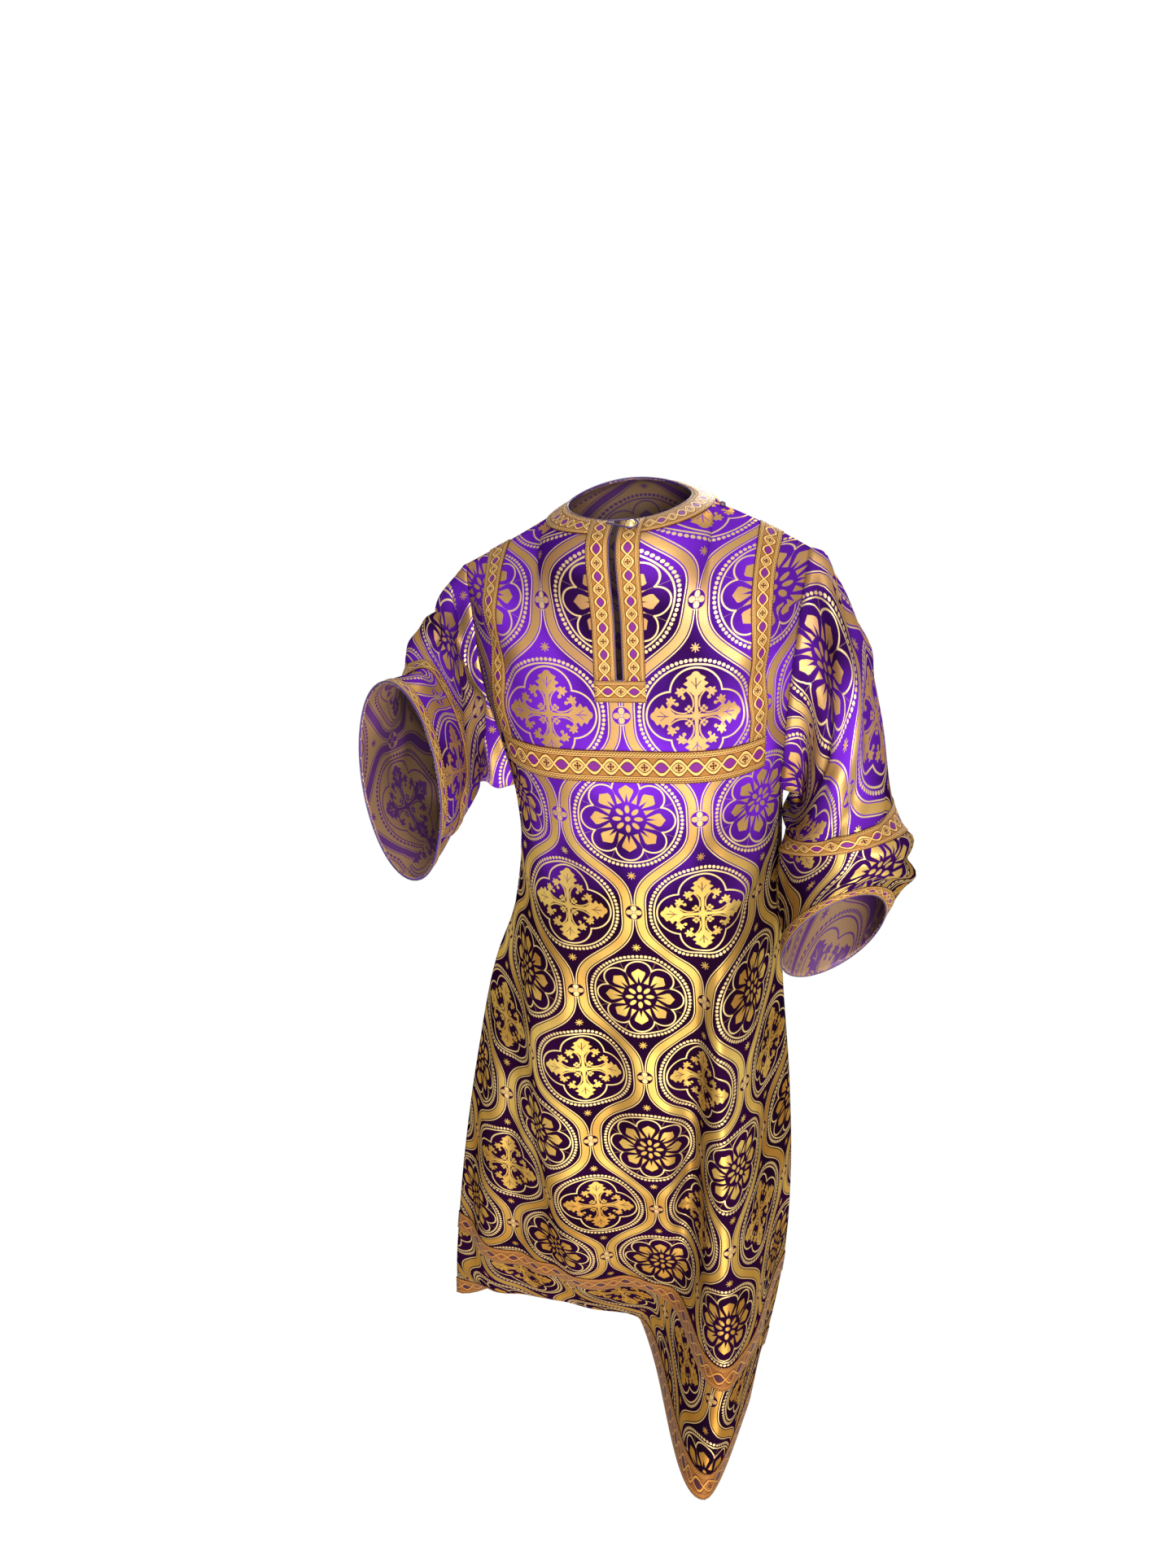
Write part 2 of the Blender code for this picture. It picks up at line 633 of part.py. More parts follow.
def add_loop(name, path, axis_points, kind):
    """A thin cord through a short list of points, with capped ends."""
    points, faces = [], []
    for k, (place, up) in enumerate(zip(path, axis_points)):
        ahead = unit(path[min(k + 1, len(path) - 1)] - path[max(k - 1, 0)])
        across = unit(np.cross(ahead, up))
        rise = np.cross(across, ahead)
        for s in range(LOOP_SIDES):
            turn = 2 * math.pi * s / LOOP_SIDES
            points.append(place + (across * math.cos(turn) + rise * math.sin(turn)) * LOOP_THICK / 2)
    for ring in range(len(path) - 1):
        for s in range(LOOP_SIDES):
            a, b = ring * LOOP_SIDES + s, ring * LOOP_SIDES + (s + 1) % LOOP_SIDES
            faces.append((a, b, b + LOOP_SIDES, a + LOOP_SIDES)[::-1])
    faces.append(tuple(range(LOOP_SIDES)))
    last = (len(path) - 1) * LOOP_SIDES
    faces.append(tuple(last + s for s in range(LOOP_SIDES))[::-1])
    return add_object(name, points, faces, kind)


def build():
    clear_scene()
    front, back = panel_grid(True), panel_grid(False)
    front_cloth, back_cloth = panel_cells(front, True), panel_cells(back, False)
    front_normals = grid_normals(front, front_cloth, -1)
    back_normals = grid_normals(back, back_cloth, 1)
    middle = len(COLUMNS) - 1

    # The panels meet at the shoulders and, below the vents, at the sides
    shoulders = [(1, j) for j in range(0, middle - NECK_COLUMN + 1)]
    shoulders += [(1, j) for j in range(middle + 1 + NECK_COLUMN, 2 * len(COLUMNS))]
    shoulders += [(0, middle - NECK_COLUMN), (0, middle + 1 + NECK_COLUMN)]
    sides = [(i, j) for i in range(level_row(VENT_END), front.shape[0]) for j in (0, -1)]
    for point in shoulders + sides:
        front_normals[point], back_normals[point] = share_normals(front_normals[point], back_normals[point])
    for point in sides:
        joint = (front[point] + back[point]) / 2
        front[point], back[point] = joint, joint.copy()

    # Sleeves take the armhole's points, so that the seam closes
    sleeves = {}
    for name, side, table, creases in (
        ("sleeve_right", -1, RAISED_SLEEVE, RAISED_CREASES),
        ("sleeve_left", 1, HANGING_SLEEVE, HANGING_CREASES),
    ):
        loop, edge_normals = armhole(front, front_normals, back, back_normals, side)
        rings = sleeve_grid(loop, table, creases, side)
        normals = ring_normals(rings)
        joint = unit(normals[0] + edge_normals)
        normals[0] = joint
        column = -1 if side > 0 else 0
        rows = level_row(UNDERARM)
        front_normals[1 : rows + 1, column] = joint[:rows]
        back_normals[1, column] = joint[0]
        back_normals[2 : rows + 1, column] = joint[:-rows:-1]
        sleeves[name] = (rings, normals)

    half = CLOTH / 2
    front_in = pulled_in(front, front_cloth, GAP / 2)
    back_in = pulled_in(back, back_cloth, GAP / 2)
    for point in shoulders:
        front_in[point][1] = -GAP / 2
        back_in[point][1] = GAP / 2
    add_wall("front_panel", front_in, front, front_normals, front_cloth, -half, half, "brocade")
    add_wall("back_panel", back_in, back, back_normals, back_cloth, -half, half, "brocade")

    for name, (rings, normals) in sleeves.items():
        cloth = np.ones((rings.shape[0] - 1, rings.shape[1]), dtype=bool)
        moved = rings.copy()
        moved[0] += unit(rings[1] - rings[0]) * GAP
        add_wall(name, moved, rings, normals, cloth, -half, half, "brocade", closed=True)
        tag = name.split("_")[1]
        add_trim(f"sleeve_upper_band_{tag}", rings[6:8], normals[6:8], closed=True)
        add_trim(f"sleeve_edge_band_{tag}", rings[-2:], normals[-2:], closed=True)

    # Trim on the panels
    top, bottom = level_row(YOKE_TOP), level_row(YOKE_BOTTOM)
    left_out, left_in = middle - YOKE_OUT_COLUMN, middle - YOKE_IN_COLUMN
    right_in, right_out = middle + 1 + YOKE_IN_COLUMN, middle + 1 + YOKE_OUT_COLUMN
    for tag, columns in (("right", slice(left_out, left_in + 1)), ("left", slice(right_in, right_out + 1))):
        strip = np.concatenate([front[top:0:-1, columns], back[2 : top + 1, columns]])
        lean = np.concatenate([front_normals[top:0:-1, columns], back_normals[2 : top + 1, columns]])
        add_trim(f"yoke_band_{tag}", strip, lean)
    bands = (
        ("yoke_band", slice(top, bottom + 1), slice(left_out, right_out + 1)),
        ("skirt_band", slice(level_row(SKIRT_TOP), level_row(SKIRT_BOTTOM) + 1), slice(None)),
        ("hem_band", slice(level_row(HEM_TOP), level_row(HEM) + 1), slice(None)),
    )
    for name, rows, columns in bands:
        add_trim(f"{name}_front", front[rows, columns], front_normals[rows, columns])
        add_trim(f"{name}_back", back[rows, columns], back_normals[rows, columns])

    slit = level_row(SLIT_END)
    for tag, columns in (("right", slice(middle - 1, middle + 1)), ("left", slice(middle + 1, middle + 3))):
        add_trim(f"slit_galloon_{tag}", front[: slit + 1, columns], front_normals[: slit + 1, columns])
    foot = (slice(slit, level_row(FOOT_END) + 1), slice(middle - 1, middle + 3))
    add_trim("slit_galloon_foot", front[foot], front_normals[foot])

    # The neck galloon runs from the slit round the back and to the slit again
    front_left = slice(middle - 1, middle - NECK_COLUMN - 1, -1)
    back_all = slice(middle - NECK_COLUMN + 1, middle + 1 + NECK_COLUMN)
    front_right = slice(middle + 1 + NECK_COLUMN, middle + 1, -1)
    strip = np.concatenate([front[:2, front_left], back[:2, back_all], front[:2, front_right]], axis=1)
    lean = np.concatenate(
        [front_normals[:2, front_left], back_normals[:2, back_all], front_normals[:2, front_right]], axis=1
    )
    add_trim("neck_galloon", strip, lean)

    # Button, its loop, and the small button on the shoulder
    face = CLOTH / 2 + GAP + GALLOON + GAP
    seat = (front[0, middle + 1] + front[1, middle + 2]) / 2
    lean = unit(front_normals[0, middle + 1] + front_normals[1, middle + 2])
    place = seat + lean * (face + BUTTON_STANDS)
    turned_shape("neck_button", place, lean, button_profile(BUTTON_RADIUS, BUTTON_HEIGHT), 14, "brass")
    start = front[0, middle] * 0.75 + front[1, middle - 1] * 0.25
    around = unit(np.cross(lean, np.array([1.0, 0.0, 0.0])))
    ahead = np.cross(around, lean)
    reach = BUTTON_RADIUS + LOOP_THICK / 2 + 2 * GAP
    turns = [math.radians(angle) for angle in (110, 80, 50, 20, 0, -20, -50, -80, -110)]
    bow = [place + (ahead * math.cos(t) + around * math.sin(t)) * reach for t in turns]
    base = start + unit(front_normals[0, middle]) * face
    path = [base + around * 0.002] + bow + [base - around * 0.002]
    lift = lean * LOOP_THICK * 1.1
    path = [point + lift for point in path]
    add_loop("neck_loop", path, [lean] * len(path), "cord")
    shoulder = (front[1, middle + 1 + NECK_COLUMN] + front[1, middle + 2 + NECK_COLUMN]) / 2
    lean = unit(front_normals[1, middle + 1 + NECK_COLUMN] + front_normals[1, middle + 2 + NECK_COLUMN])
    place = shoulder + lean * (CLOTH / 2 + 2 * GAP)
    profile = button_profile(SHOULDER_BUTTON_RADIUS, BUTTON_HEIGHT * 0.7)
    turned_shape("shoulder_button", place, lean, profile, 10, "cord")


build()
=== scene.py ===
# %% [markdown]
# # A worn dalmatic in brocade and galloon
# The object is a long tunic with wide sleeves, cut from a heavy figured silk and edged with
# woven gold galloon. It is shown as it hangs when worn, with the wearer's right arm raised.
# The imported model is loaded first: its walls fix every size, and this script dresses them.

# %% Load the frame
import math

import bpy
import numpy as np
from mathutils import Matrix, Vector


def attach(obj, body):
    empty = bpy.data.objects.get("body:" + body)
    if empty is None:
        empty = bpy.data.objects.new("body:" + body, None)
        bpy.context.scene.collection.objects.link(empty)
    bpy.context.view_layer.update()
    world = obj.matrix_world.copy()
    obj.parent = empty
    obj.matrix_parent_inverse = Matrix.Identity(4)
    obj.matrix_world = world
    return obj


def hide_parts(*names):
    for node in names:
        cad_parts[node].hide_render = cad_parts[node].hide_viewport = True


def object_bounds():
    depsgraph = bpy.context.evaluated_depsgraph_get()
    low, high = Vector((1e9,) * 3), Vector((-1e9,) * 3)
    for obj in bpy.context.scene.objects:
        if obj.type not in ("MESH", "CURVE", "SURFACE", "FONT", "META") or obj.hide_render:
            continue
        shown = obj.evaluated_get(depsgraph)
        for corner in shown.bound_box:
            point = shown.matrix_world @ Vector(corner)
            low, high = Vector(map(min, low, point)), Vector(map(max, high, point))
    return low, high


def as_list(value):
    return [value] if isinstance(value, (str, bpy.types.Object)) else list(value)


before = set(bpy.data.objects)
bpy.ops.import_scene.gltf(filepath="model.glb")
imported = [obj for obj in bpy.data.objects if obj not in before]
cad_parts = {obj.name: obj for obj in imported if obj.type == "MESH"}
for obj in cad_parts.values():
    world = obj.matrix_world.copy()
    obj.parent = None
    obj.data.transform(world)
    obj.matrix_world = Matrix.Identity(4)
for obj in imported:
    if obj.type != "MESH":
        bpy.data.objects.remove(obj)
cad_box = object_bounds()
print("nodes:", len(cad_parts))

# %% [markdown]
# ## The cut and the fall of the cloth
# A worn garment is flat cloth that falls from the shoulders. It could be simulated from its
# flat pieces, but then its folds would land where they like. Here each level line of the
# cloth is drawn from a table, so that the broad folds lie where the real ones do, and the
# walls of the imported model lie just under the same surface.

# %% Sizes in metres
CLOTH = 0.0014
GALLOON = 0.0010
GAP = 0.0003
LIFT = CLOTH / 2 + GAP + GALLOON / 2
NARROW = 0.025
WIDE = 0.040
SLIT_HALF = 0.004
# The neckline's half width, and for front and back its depth, height there, and fall outward
NECK_HALF = 0.070
NECK_FRONT, NECK_BACK = (0.080, 0.006, 0.30), (0.058, 0.020, 0.35)
YOKE_OUTER = 0.170
YOKE_INNER = YOKE_OUTER - NARROW
SHOULDER_HALF = 0.200
# Each side's rise at the neck, drop to its end, bend of that line, slope of the cloth below it
SHOULDERS = {-1: (0.008, 0.070, 0.9, -0.40), 1: (0.012, 0.060, 1.3, -0.30)}
RING_TOP, SLIT_END = -0.100, -0.160
FOOT_END = SLIT_END - NARROW
YOKE_TOP = -0.243
YOKE_BOTTOM = YOKE_TOP - WIDE
UNDERARM, VENT_END = -0.335, -0.535
SKIRT_TOP = -1.170
SKIRT_BOTTOM = SKIRT_TOP - WIDE
HEM = -1.380
HEM_TOP = HEM + WIDE
TUCK_START, TUCK_ANGLE = -1.310, math.radians(125)
TUCK_LEFT, TUCK_RIGHT, TUCK_FADES = -0.390, -0.030, (0.070, 0.090)
TUCK_STEPS, TUCK_TOWARDS = 12, (-0.11, 0.13)
ARMHOLE_EASE, SLEEVE_CUT, UPPER_BAND_UP = 0.018, 0.46, 0.150

COLUMNS = (
    SLIT_HALF, SLIT_HALF + NARROW, 0.045, 0.061, 0.078, NECK_HALF + NARROW, 0.112, 0.129,
    YOKE_INNER, (YOKE_INNER + YOKE_OUTER) / 2, YOKE_OUTER, 0.185, SHOULDER_HALF,
)
NECK_COLUMN, YOKE_IN_COLUMN, YOKE_OUT_COLUMN, EDGE_COLUMN = 5, 8, 10, 12
# Below the yoke the columns spread evenly over this height, the first at this share of the width
SPREAD, FIRST_SHARE = 0.30, 0.02
LEVEL_MARKS = (
    RING_TOP, SLIT_END, FOOT_END, YOKE_TOP, YOKE_BOTTOM, UNDERARM, VENT_END, SKIRT_TOP,
    SKIRT_BOTTOM, TUCK_START, HEM_TOP, HEM,
)

# %% Level lines of the worn cloth
def metres(rows, left_alone=()):
    """Rows written in millimetres, turned to metres, apart from the columns left alone."""
    return [[v if k in left_alone else v / 1000 for k, v in enumerate(row)] for row in rows]


# Each row: z; x, y and squareness at the left edge; the same at the right; y in the middle
SQUARES = (3, 6)
FRONT_SECTIONS = metres((
    (-100, -193, -28, 4.0, 193, -28, 4.0, -113), (-200, -181, -50, 4.0, 181, -46, 4.0, -124),
    (-283, -166, -46, 4.0, 174, -40, 4.0, -127), (-340, -160, -40, 3.8, 169, -30, 4.0, -127),
    (-450, -163, -36, 3.6, 166, -20, 4.2, -127), (-540, -190, -6, 3.2, 168, 4, 4.5, -126),
    (-630, -228, 6, 2.6, 170, 8, 4.5, -124), (-820, -282, 12, 2.5, 180, 10, 4.5, -120),
    (-990, -322, 14, 2.8, 183, 10, 5.0, -105), (-1190, -362, 18, 3.2, 172, 10, 6.0, -66),
    (-1290, -380, 22, 4.0, 158, 6, 6.0, -28), (-1380, -392, 26, 5.0, 142, 4, 6.0, 6),
), SQUARES)
BACK_SECTIONS = metres((
    (-100, -193, 46, 4.0, 193, 46, 4.0, 98), (-200, -184, 52, 4.0, 184, 52, 4.0, 112),
    (-283, -172, 40, 4.0, 178, 38, 4.0, 112), (-340, -164, 30, 3.8, 171, 30, 4.0, 108),
    (-450, -176, 14, 3.6, 168, 18, 4.2, 106), (-540, -191, -5, 3.2, 168, 5, 4.0, 112),
    (-630, -228, 6, 3.0, 170, 8, 3.6, 124), (-820, -282, 12, 2.8, 180, 10, 3.2, 148),
    (-990, -322, 14, 2.8, 183, 10, 3.0, 170), (-1190, -362, 18, 2.8, 172, 10, 3.0, 196),
    (-1290, -380, 22, 2.8, 158, 6, 3.0, 208), (-1380, -392, 26, 2.8, 142, 4, 3.0, 220),
), SQUARES)
# Each row of a fold: z, x of its ridge, how far it stands out, its width to the left and right
FOLD_FADE = 0.12
FRONT_FOLDS = {
    "pipe": metres((
        (-480, 112, 0, 40, 50), (-620, 106, 34, 36, 55), (-850, 108, 56, 52, 62),
        (-1000, 108, 82, 80, 66), (-1190, 104, 146, 120, 72), (-1380, 74, 274, 150, 92),
    )),
    "valley by the pipe": metres((
        (-600, 58, 0, 30, 30), (-850, 54, -18, 34, 30), (-1080, 44, -20, 36, 40),
        (-1250, 20, 0, 40, 50),
    )),
    "ridge at the left": metres((
        (-480, -146, 0, 30, 70), (-620, -150, 22, 34, 90), (-850, -146, 26, 40, 100),
        (-1080, -140, 22, 46, 100), (-1300, -130, 6, 60, 100),
    )),
    "soft left edge": metres((
        (-600, -230, 0, 40, 40), (-850, -244, 14, 40, 40), (-1190, -290, 16, 60, 60),
        (-1380, -320, 8, 60, 60),
    )),
}
BACK_FOLDS = {
    "left pipe": metres((
        (-540, -150, 0, 45, 45), (-900, -178, 26, 55, 60), (-1380, -236, 56, 70, 75),
    )),
    "middle left pipe": metres((
        (-440, -58, 0, 40, 40), (-900, -66, 28, 48, 52), (-1380, -104, 62, 60, 66),
    )),
    "middle right pipe": metres((
        (-480, 52, 0, 40, 40), (-900, 48, 24, 50, 46), (-1380, 24, 52, 62, 56),
    )),
    "right pipe": metres((
        (-600, 122, 0, 30, 28), (-900, 124, 18, 34, 30), (-1380, 112, 34, 40, 32),
    )),
}
# Each row: the middle of a ring, the way the sleeve runs there, the way its top faces, its
# half height and its half depth
DIRECTIONS = range(3, 9)
RAISED_SLEEVE = metres((
    (-220, -49, -216, -0.72, -0.68, -0.1, 0.0, 0.0, 1.0, 116, 56),
    (-226, -112, -234, -0.56, -0.8, 0.0, 0.0, 0.0, 1.0, 102, 62),
    (-222, -165, -240, -0.54, -0.84, 0.1, 0.0, 0.0, 1.0, 99, 68),
    (-220, -210, -233, -0.56, -0.82, 0.1, 0.0, 0.0, 1.0, 107, 72),
    (-224, -246, -231, -0.57, -0.82, 0.1, 0.0, 0.0, 1.0, 113, 74),
), DIRECTIONS)
HANGING_SLEEVE = metres((
    (224, -2, -246, 0.95, 0.0, -0.26, 0.26, 0.0, 0.97, 114, 74),
    (236, -4, -312, 0.8, -0.04, -0.6, 0.6, 0.0, 0.8, 80, 90),
    (240, -12, -382, 0.3, -0.22, -0.93, 0.95, 0.1, 0.3, 66, 98),
    (252.5, -36, -440, 0.2, -0.5, -0.84, 0.98, 0.2, 0.1, 80, 94),
    (238, -98, -500, 0.52, -0.74, -0.42, 0.86, 0.49, 0.17, 70, 88),
), DIRECTIONS)


# %% Reading a table on a smooth curve
def unit(vectors):
    vectors = np.asarray(vectors, dtype=float)
    length = np.linalg.norm(vectors, axis=-1, keepdims=True)
    return vectors / np.maximum(length, 1e-12)


def ease(value):
    value = np.clip(value, 0.0, 1.0)
    return value * value * (3.0 - 2.0 * value)


def run_of(points):
    """How far along a line of points each one lies."""
    return np.concatenate([[0], np.cumsum(np.linalg.norm(np.diff(points, axis=0), axis=1))])


def bridge(t, span, start, leave, end, arrive):
    """A place on the smooth curve that leaves its start and meets its end in given directions."""
    h00, h10 = 2 * t**3 - 3 * t**2 + 1, t**3 - 2 * t**2 + t
    h01, h11 = -2 * t**3 + 3 * t**2, t**3 - t**2
    return h00 * start + h10 * span * leave + h01 * end + h11 * span * arrive


def smooth_row(table, at):
    rows = np.array(table, dtype=float)
    rows = rows[np.argsort(rows[:, 0])]
    keys = rows[:, 0]
    at = min(max(at, keys[0]), keys[-1])
    slopes = np.gradient(rows, keys, axis=0)
    k = int(np.clip(np.searchsorted(keys, at) - 1, 0, len(keys) - 2))
    span = keys[k + 1] - keys[k]
    return bridge((at - keys[k]) / span, span, rows[k], slopes[k], rows[k + 1], slopes[k + 1])


# %% A level line of the front or the back
def fold_reach(folds, x, z):
    total = np.zeros_like(x)
    for rows in folds.values():
        keys = [row[0] for row in rows]
        if z > max(keys):
            continue
        _, ridge, reach, left, right = smooth_row(rows, z)
        away = x - ridge
        share = np.abs(away) / np.where(away < 0, left, right)
        total += reach * np.where(share < 1, (1 + np.cos(math.pi * np.minimum(share, 1))) / 2, 0)
    return total


def section(front, z, samples=481):
    """Points of one level line and their distance along the cloth from the centre line."""
    row = smooth_row(FRONT_SECTIONS if front else BACK_SECTIONS, z)
    left, right, middle = row[1:4], row[4:7], row[7]
    x = np.linspace(left[0], right[0], samples)
    end, edge, square = np.where(x < 0, left[:, None], right[:, None])
    share = x / end
    y = middle + (edge - middle) * share**square
    folds = FRONT_FOLDS if front else BACK_FOLDS
    y += fold_reach(folds, x, z) * ease((1 - share) / FOLD_FADE) * (-1 if front else 1)
    points = np.stack([x, y, np.full_like(x, z)], axis=1)
    along = run_of(points)
    return points, along - np.interp(0.0, x, along)


def column_width(index):
    return float(np.interp(index, range(len(COLUMNS)), COLUMNS))


def column_place(index, z, reach):
    fixed = column_width(index)
    if index > YOKE_OUT_COLUMN:
        share = (fixed - YOKE_OUTER) / (SHOULDER_HALF - YOKE_OUTER)
        fixed = YOKE_OUTER + share * (reach - YOKE_OUTER)
    even = reach * (FIRST_SHARE + (1 - FIRST_SHARE) * index / EDGE_COLUMN)
    return fixed + (even - fixed) * float(ease((YOKE_BOTTOM - z) / SPREAD))


# %% [markdown]
# ## The hem that rolls under
# At the left front the hem is heavy and rolls in under itself. Each column of the cloth is
# turned there little by little, as a strip of paper is rolled, so its length stays right.

# %% The rolled hem and the neckline
def tuck(point, z):
    if z >= TUCK_START:
        return point
    x = point[0]
    weight = float(ease((TUCK_RIGHT - x) / TUCK_FADES[1]) * ease((x - TUCK_LEFT) / TUCK_FADES[0]))
    inward = unit(np.array([(TUCK_TOWARDS[0] - x) / 2, TUCK_TOWARDS[1] - point[1], 0.0]))
    length = TUCK_START - z
    place = point + np.array([0.0, 0.0, length])
    for k in range(TUCK_STEPS):
        turn = TUCK_ANGLE * weight * ((k + 0.5) / TUCK_STEPS * length / (TUCK_START - HEM))
        way = inward * math.sin(turn) - np.array([0, 0, math.cos(turn)])
        place = place + way * length / TUCK_STEPS
    return place


def shoulder_height(x):
    rise, drop, bend, _ = SHOULDERS[-1 if x < 0 else 1]
    share = (abs(x) - NECK_HALF) / (SHOULDER_HALF - NECK_HALF)
    return rise - drop * max(share, 0.0) ** bend


def top_point(index, side, front, offset):
    """A point of the neckline or of its galloon, or farther out on the line of the shoulder."""
    if index > NECK_COLUMN:
        width = side * column_width(index)
        return np.array([width, 0.0, shoulder_height(width)])
    half = NECK_HALF + offset
    depth, height, fall = NECK_FRONT if front else NECK_BACK
    first = math.asin((SLIT_HALF + NARROW) / half)
    if index <= 1:
        turn = math.asin(column_width(index) / half)
    else:
        turn = first + (math.pi / 2 - first) * (index - 1) / (NECK_COLUMN - 1)
    low = height - offset * fall
    z = low + (shoulder_height(side * half) - low) * math.sin(turn) ** 2
    y = (depth + offset) * math.cos(turn) * (-1 if front else 1)
    return np.array([side * half * math.sin(turn), y, z])


# %% The panel as rows and columns of points
ACROSS, NECK_ROWS, TOP_ROWS = 5, 3, 15
LEVEL_STEP, LOOK_BELOW = 0.0085, 0.02
INDEXES = [k / ACROSS for k in range(EDGE_COLUMN * ACROSS + 1)]
LEVELS = [RING_TOP]
for upper, lower in zip(LEVEL_MARKS, LEVEL_MARKS[1:]):
    steps = math.ceil((upper - lower) / LEVEL_STEP)
    LEVELS += [upper + (lower - upper) * k / steps for k in range(1, steps + 1)]


def level_points(front, side, z):
    points, along = section(front, z)
    reach = along[-1] if side > 0 else -along[0]
    places = [side * column_place(index, z, reach) for index in INDEXES]
    row = np.stack([np.interp(places, along, points[:, axis]) for axis in range(3)], axis=1)
    if front:
        row = np.array([tuck(point, z) for point in row])
    return row, np.array(places)


def half_panel(front, side):
    """Rows of points from the neckline to the hem, and how far each is from the centre line."""
    rows = []
    for offset in NARROW * np.arange(NECK_ROWS + 1) / NECK_ROWS:
        rows.append(np.array([top_point(index, side, front, offset) for index in INDEXES]))
    first, _ = level_points(front, side, RING_TOP)
    after, _ = level_points(front, side, RING_TOP - LOOK_BELOW)
    ahead = unit(np.array([0.0, -1 if front else 1, SHOULDERS[side][3]]))
    leave = np.tile(ahead, (len(INDEXES), 1))
    for k, index in enumerate(INDEXES):
        if index < NECK_COLUMN:
            radial = unit(rows[-1][k] - rows[0][k])
            leave[k] = unit(radial + (ahead - radial) * (index / NECK_COLUMN) ** 2)
    start = rows[-1]
    span = np.linalg.norm(first - start, axis=1, keepdims=True)
    for k in range(1, TOP_ROWS):
        rows.append(bridge(k / TOP_ROWS, span, start, leave, first, unit(after - first)))
    places = [np.array([side * column_width(index) for index in INDEXES])] * len(rows)
    for z in LEVELS:
        row, place = level_points(front, side, z)
        rows.append(row)
        places.append(place)
    return np.array(rows), np.array(places)


def level_row(z):
    return NECK_ROWS + TOP_ROWS + int(np.argmin([abs(level - z) for level in LEVELS]))


def panel_grid(front):
    """Points and cloth distances (across, down) of a panel, its columns from left to right."""
    left, left_places = half_panel(front, -1)
    right, right_places = half_panel(front, 1)
    grid = np.concatenate([left[:, ::-1], right], axis=1)
    across = np.concatenate([left_places[:, ::-1], right_places], axis=1)
    ring = NECK_ROWS + TOP_ROWS
    share = np.clip(np.arange(len(grid)) / ring, 0, 1)[:, None]
    across = grid[..., 0] * (1 - share) + across * share
    steps = np.diff(grid, axis=0)
    steps[:ring, :, 0] = 0
    steps = np.linalg.norm(steps, axis=2)
    down = np.concatenate([np.zeros((1, grid.shape[1])), np.cumsum(steps, axis=0)])
    yoke = level_row(YOKE_BOTTOM)
    down = down - down[yoke] - YOKE_BOTTOM
    return grid, np.stack([across, down], axis=2)


MIDDLE = EDGE_COLUMN * ACROSS
FRONT, FRONT_CLOTH = panel_grid(True)
BACK, BACK_CLOTH = panel_grid(False)
print("front and back:", FRONT.shape, "widest cut", round(float(np.ptp(FRONT_CLOTH[-1, :, 0])), 3))


# %% Which cells are cloth, and which way they face
def panel_cells(grid, front):
    cloth = np.ones((grid.shape[0] - 1, grid.shape[1] - 1), dtype=bool)
    neck = NECK_COLUMN * ACROSS
    cloth[:NECK_ROWS, : MIDDLE - neck] = False
    cloth[:NECK_ROWS, MIDDLE + 1 + neck :] = False
    if front:
        cloth[: level_row(SLIT_END), MIDDLE] = False
    return cloth


def grid_normals(grid, cloth, outward):
    face = np.cross(grid[1:, 1:] - grid[:-1, :-1], grid[1:, :-1] - grid[:-1, 1:]) * outward
    face = face * cloth[:, :, None]
    normals = np.zeros_like(grid)
    for i in (0, 1):
        for j in (0, 1):
            normals[i : i + face.shape[0], j : j + face.shape[1]] += face
    return unit(normals)


FRONT_CELLS, BACK_CELLS = panel_cells(FRONT, True), panel_cells(BACK, False)
print("cells of cloth:", int(FRONT_CELLS.sum()), int(BACK_CELLS.sum()))

# %% [markdown]
# ## Creases
# The broad folds come from the tables. The small ones, where an arm pulls at the cloth or a
# trim stiffens it, are laid one by one: each is a short soft line on the cloth with a width and
# a rise, and the cloth moves out or in beside it. A physical simulation could give finer
# ones, but not at the places where this garment has them.

# %% Creases of the front and the back
# Each row: x and z of one end, x and z of the other, the width, and how far the cloth rises
FRONT_CREASES = metres((
    (-168, -75, -110, -150, 16, 4), (-185, -110, -120, -200, 14, -4),
    (-165, -215, -60, -180, 20, 3), (165, -60, 120, -170, 16, 4), (175, -140, 90, -215, 15, -4),
    (160, -200, 100, -235, 10, 3), (-155, -330, -60, -430, 20, -5), (-165, -390, -90, -520, 16, 5),
    (160, -330, 80, -400, 18, -5), (165, -380, 100, -500, 16, 6), (150, -450, 60, -560, 18, -4),
    (-100, -480, -105, -760, 22, 4), (-55, -560, -70, -900, 24, -5), (-10, -640, -20, -980, 26, 4),
    (30, -480, 20, -700, 18, -3), (-205, -700, -240, -1000, 20, -6),
    (-262, -860, -300, -1200, 18, 5), (-80, -1060, -75, -1260, 22, -5),
    (-20, -1120, -10, -1300, 20, 5), (150, -700, 150, -1000, 12, -5),
    (128, -560, 130, -820, 12, 4), (146, -1020, 135, -1240, 12, 5),
    (-200, -1080, -215, -1290, 20, 5), (-330, -1100, -345, -1300, 20, -5),
    (62, -900, 50, -1120, 12, -4),
))
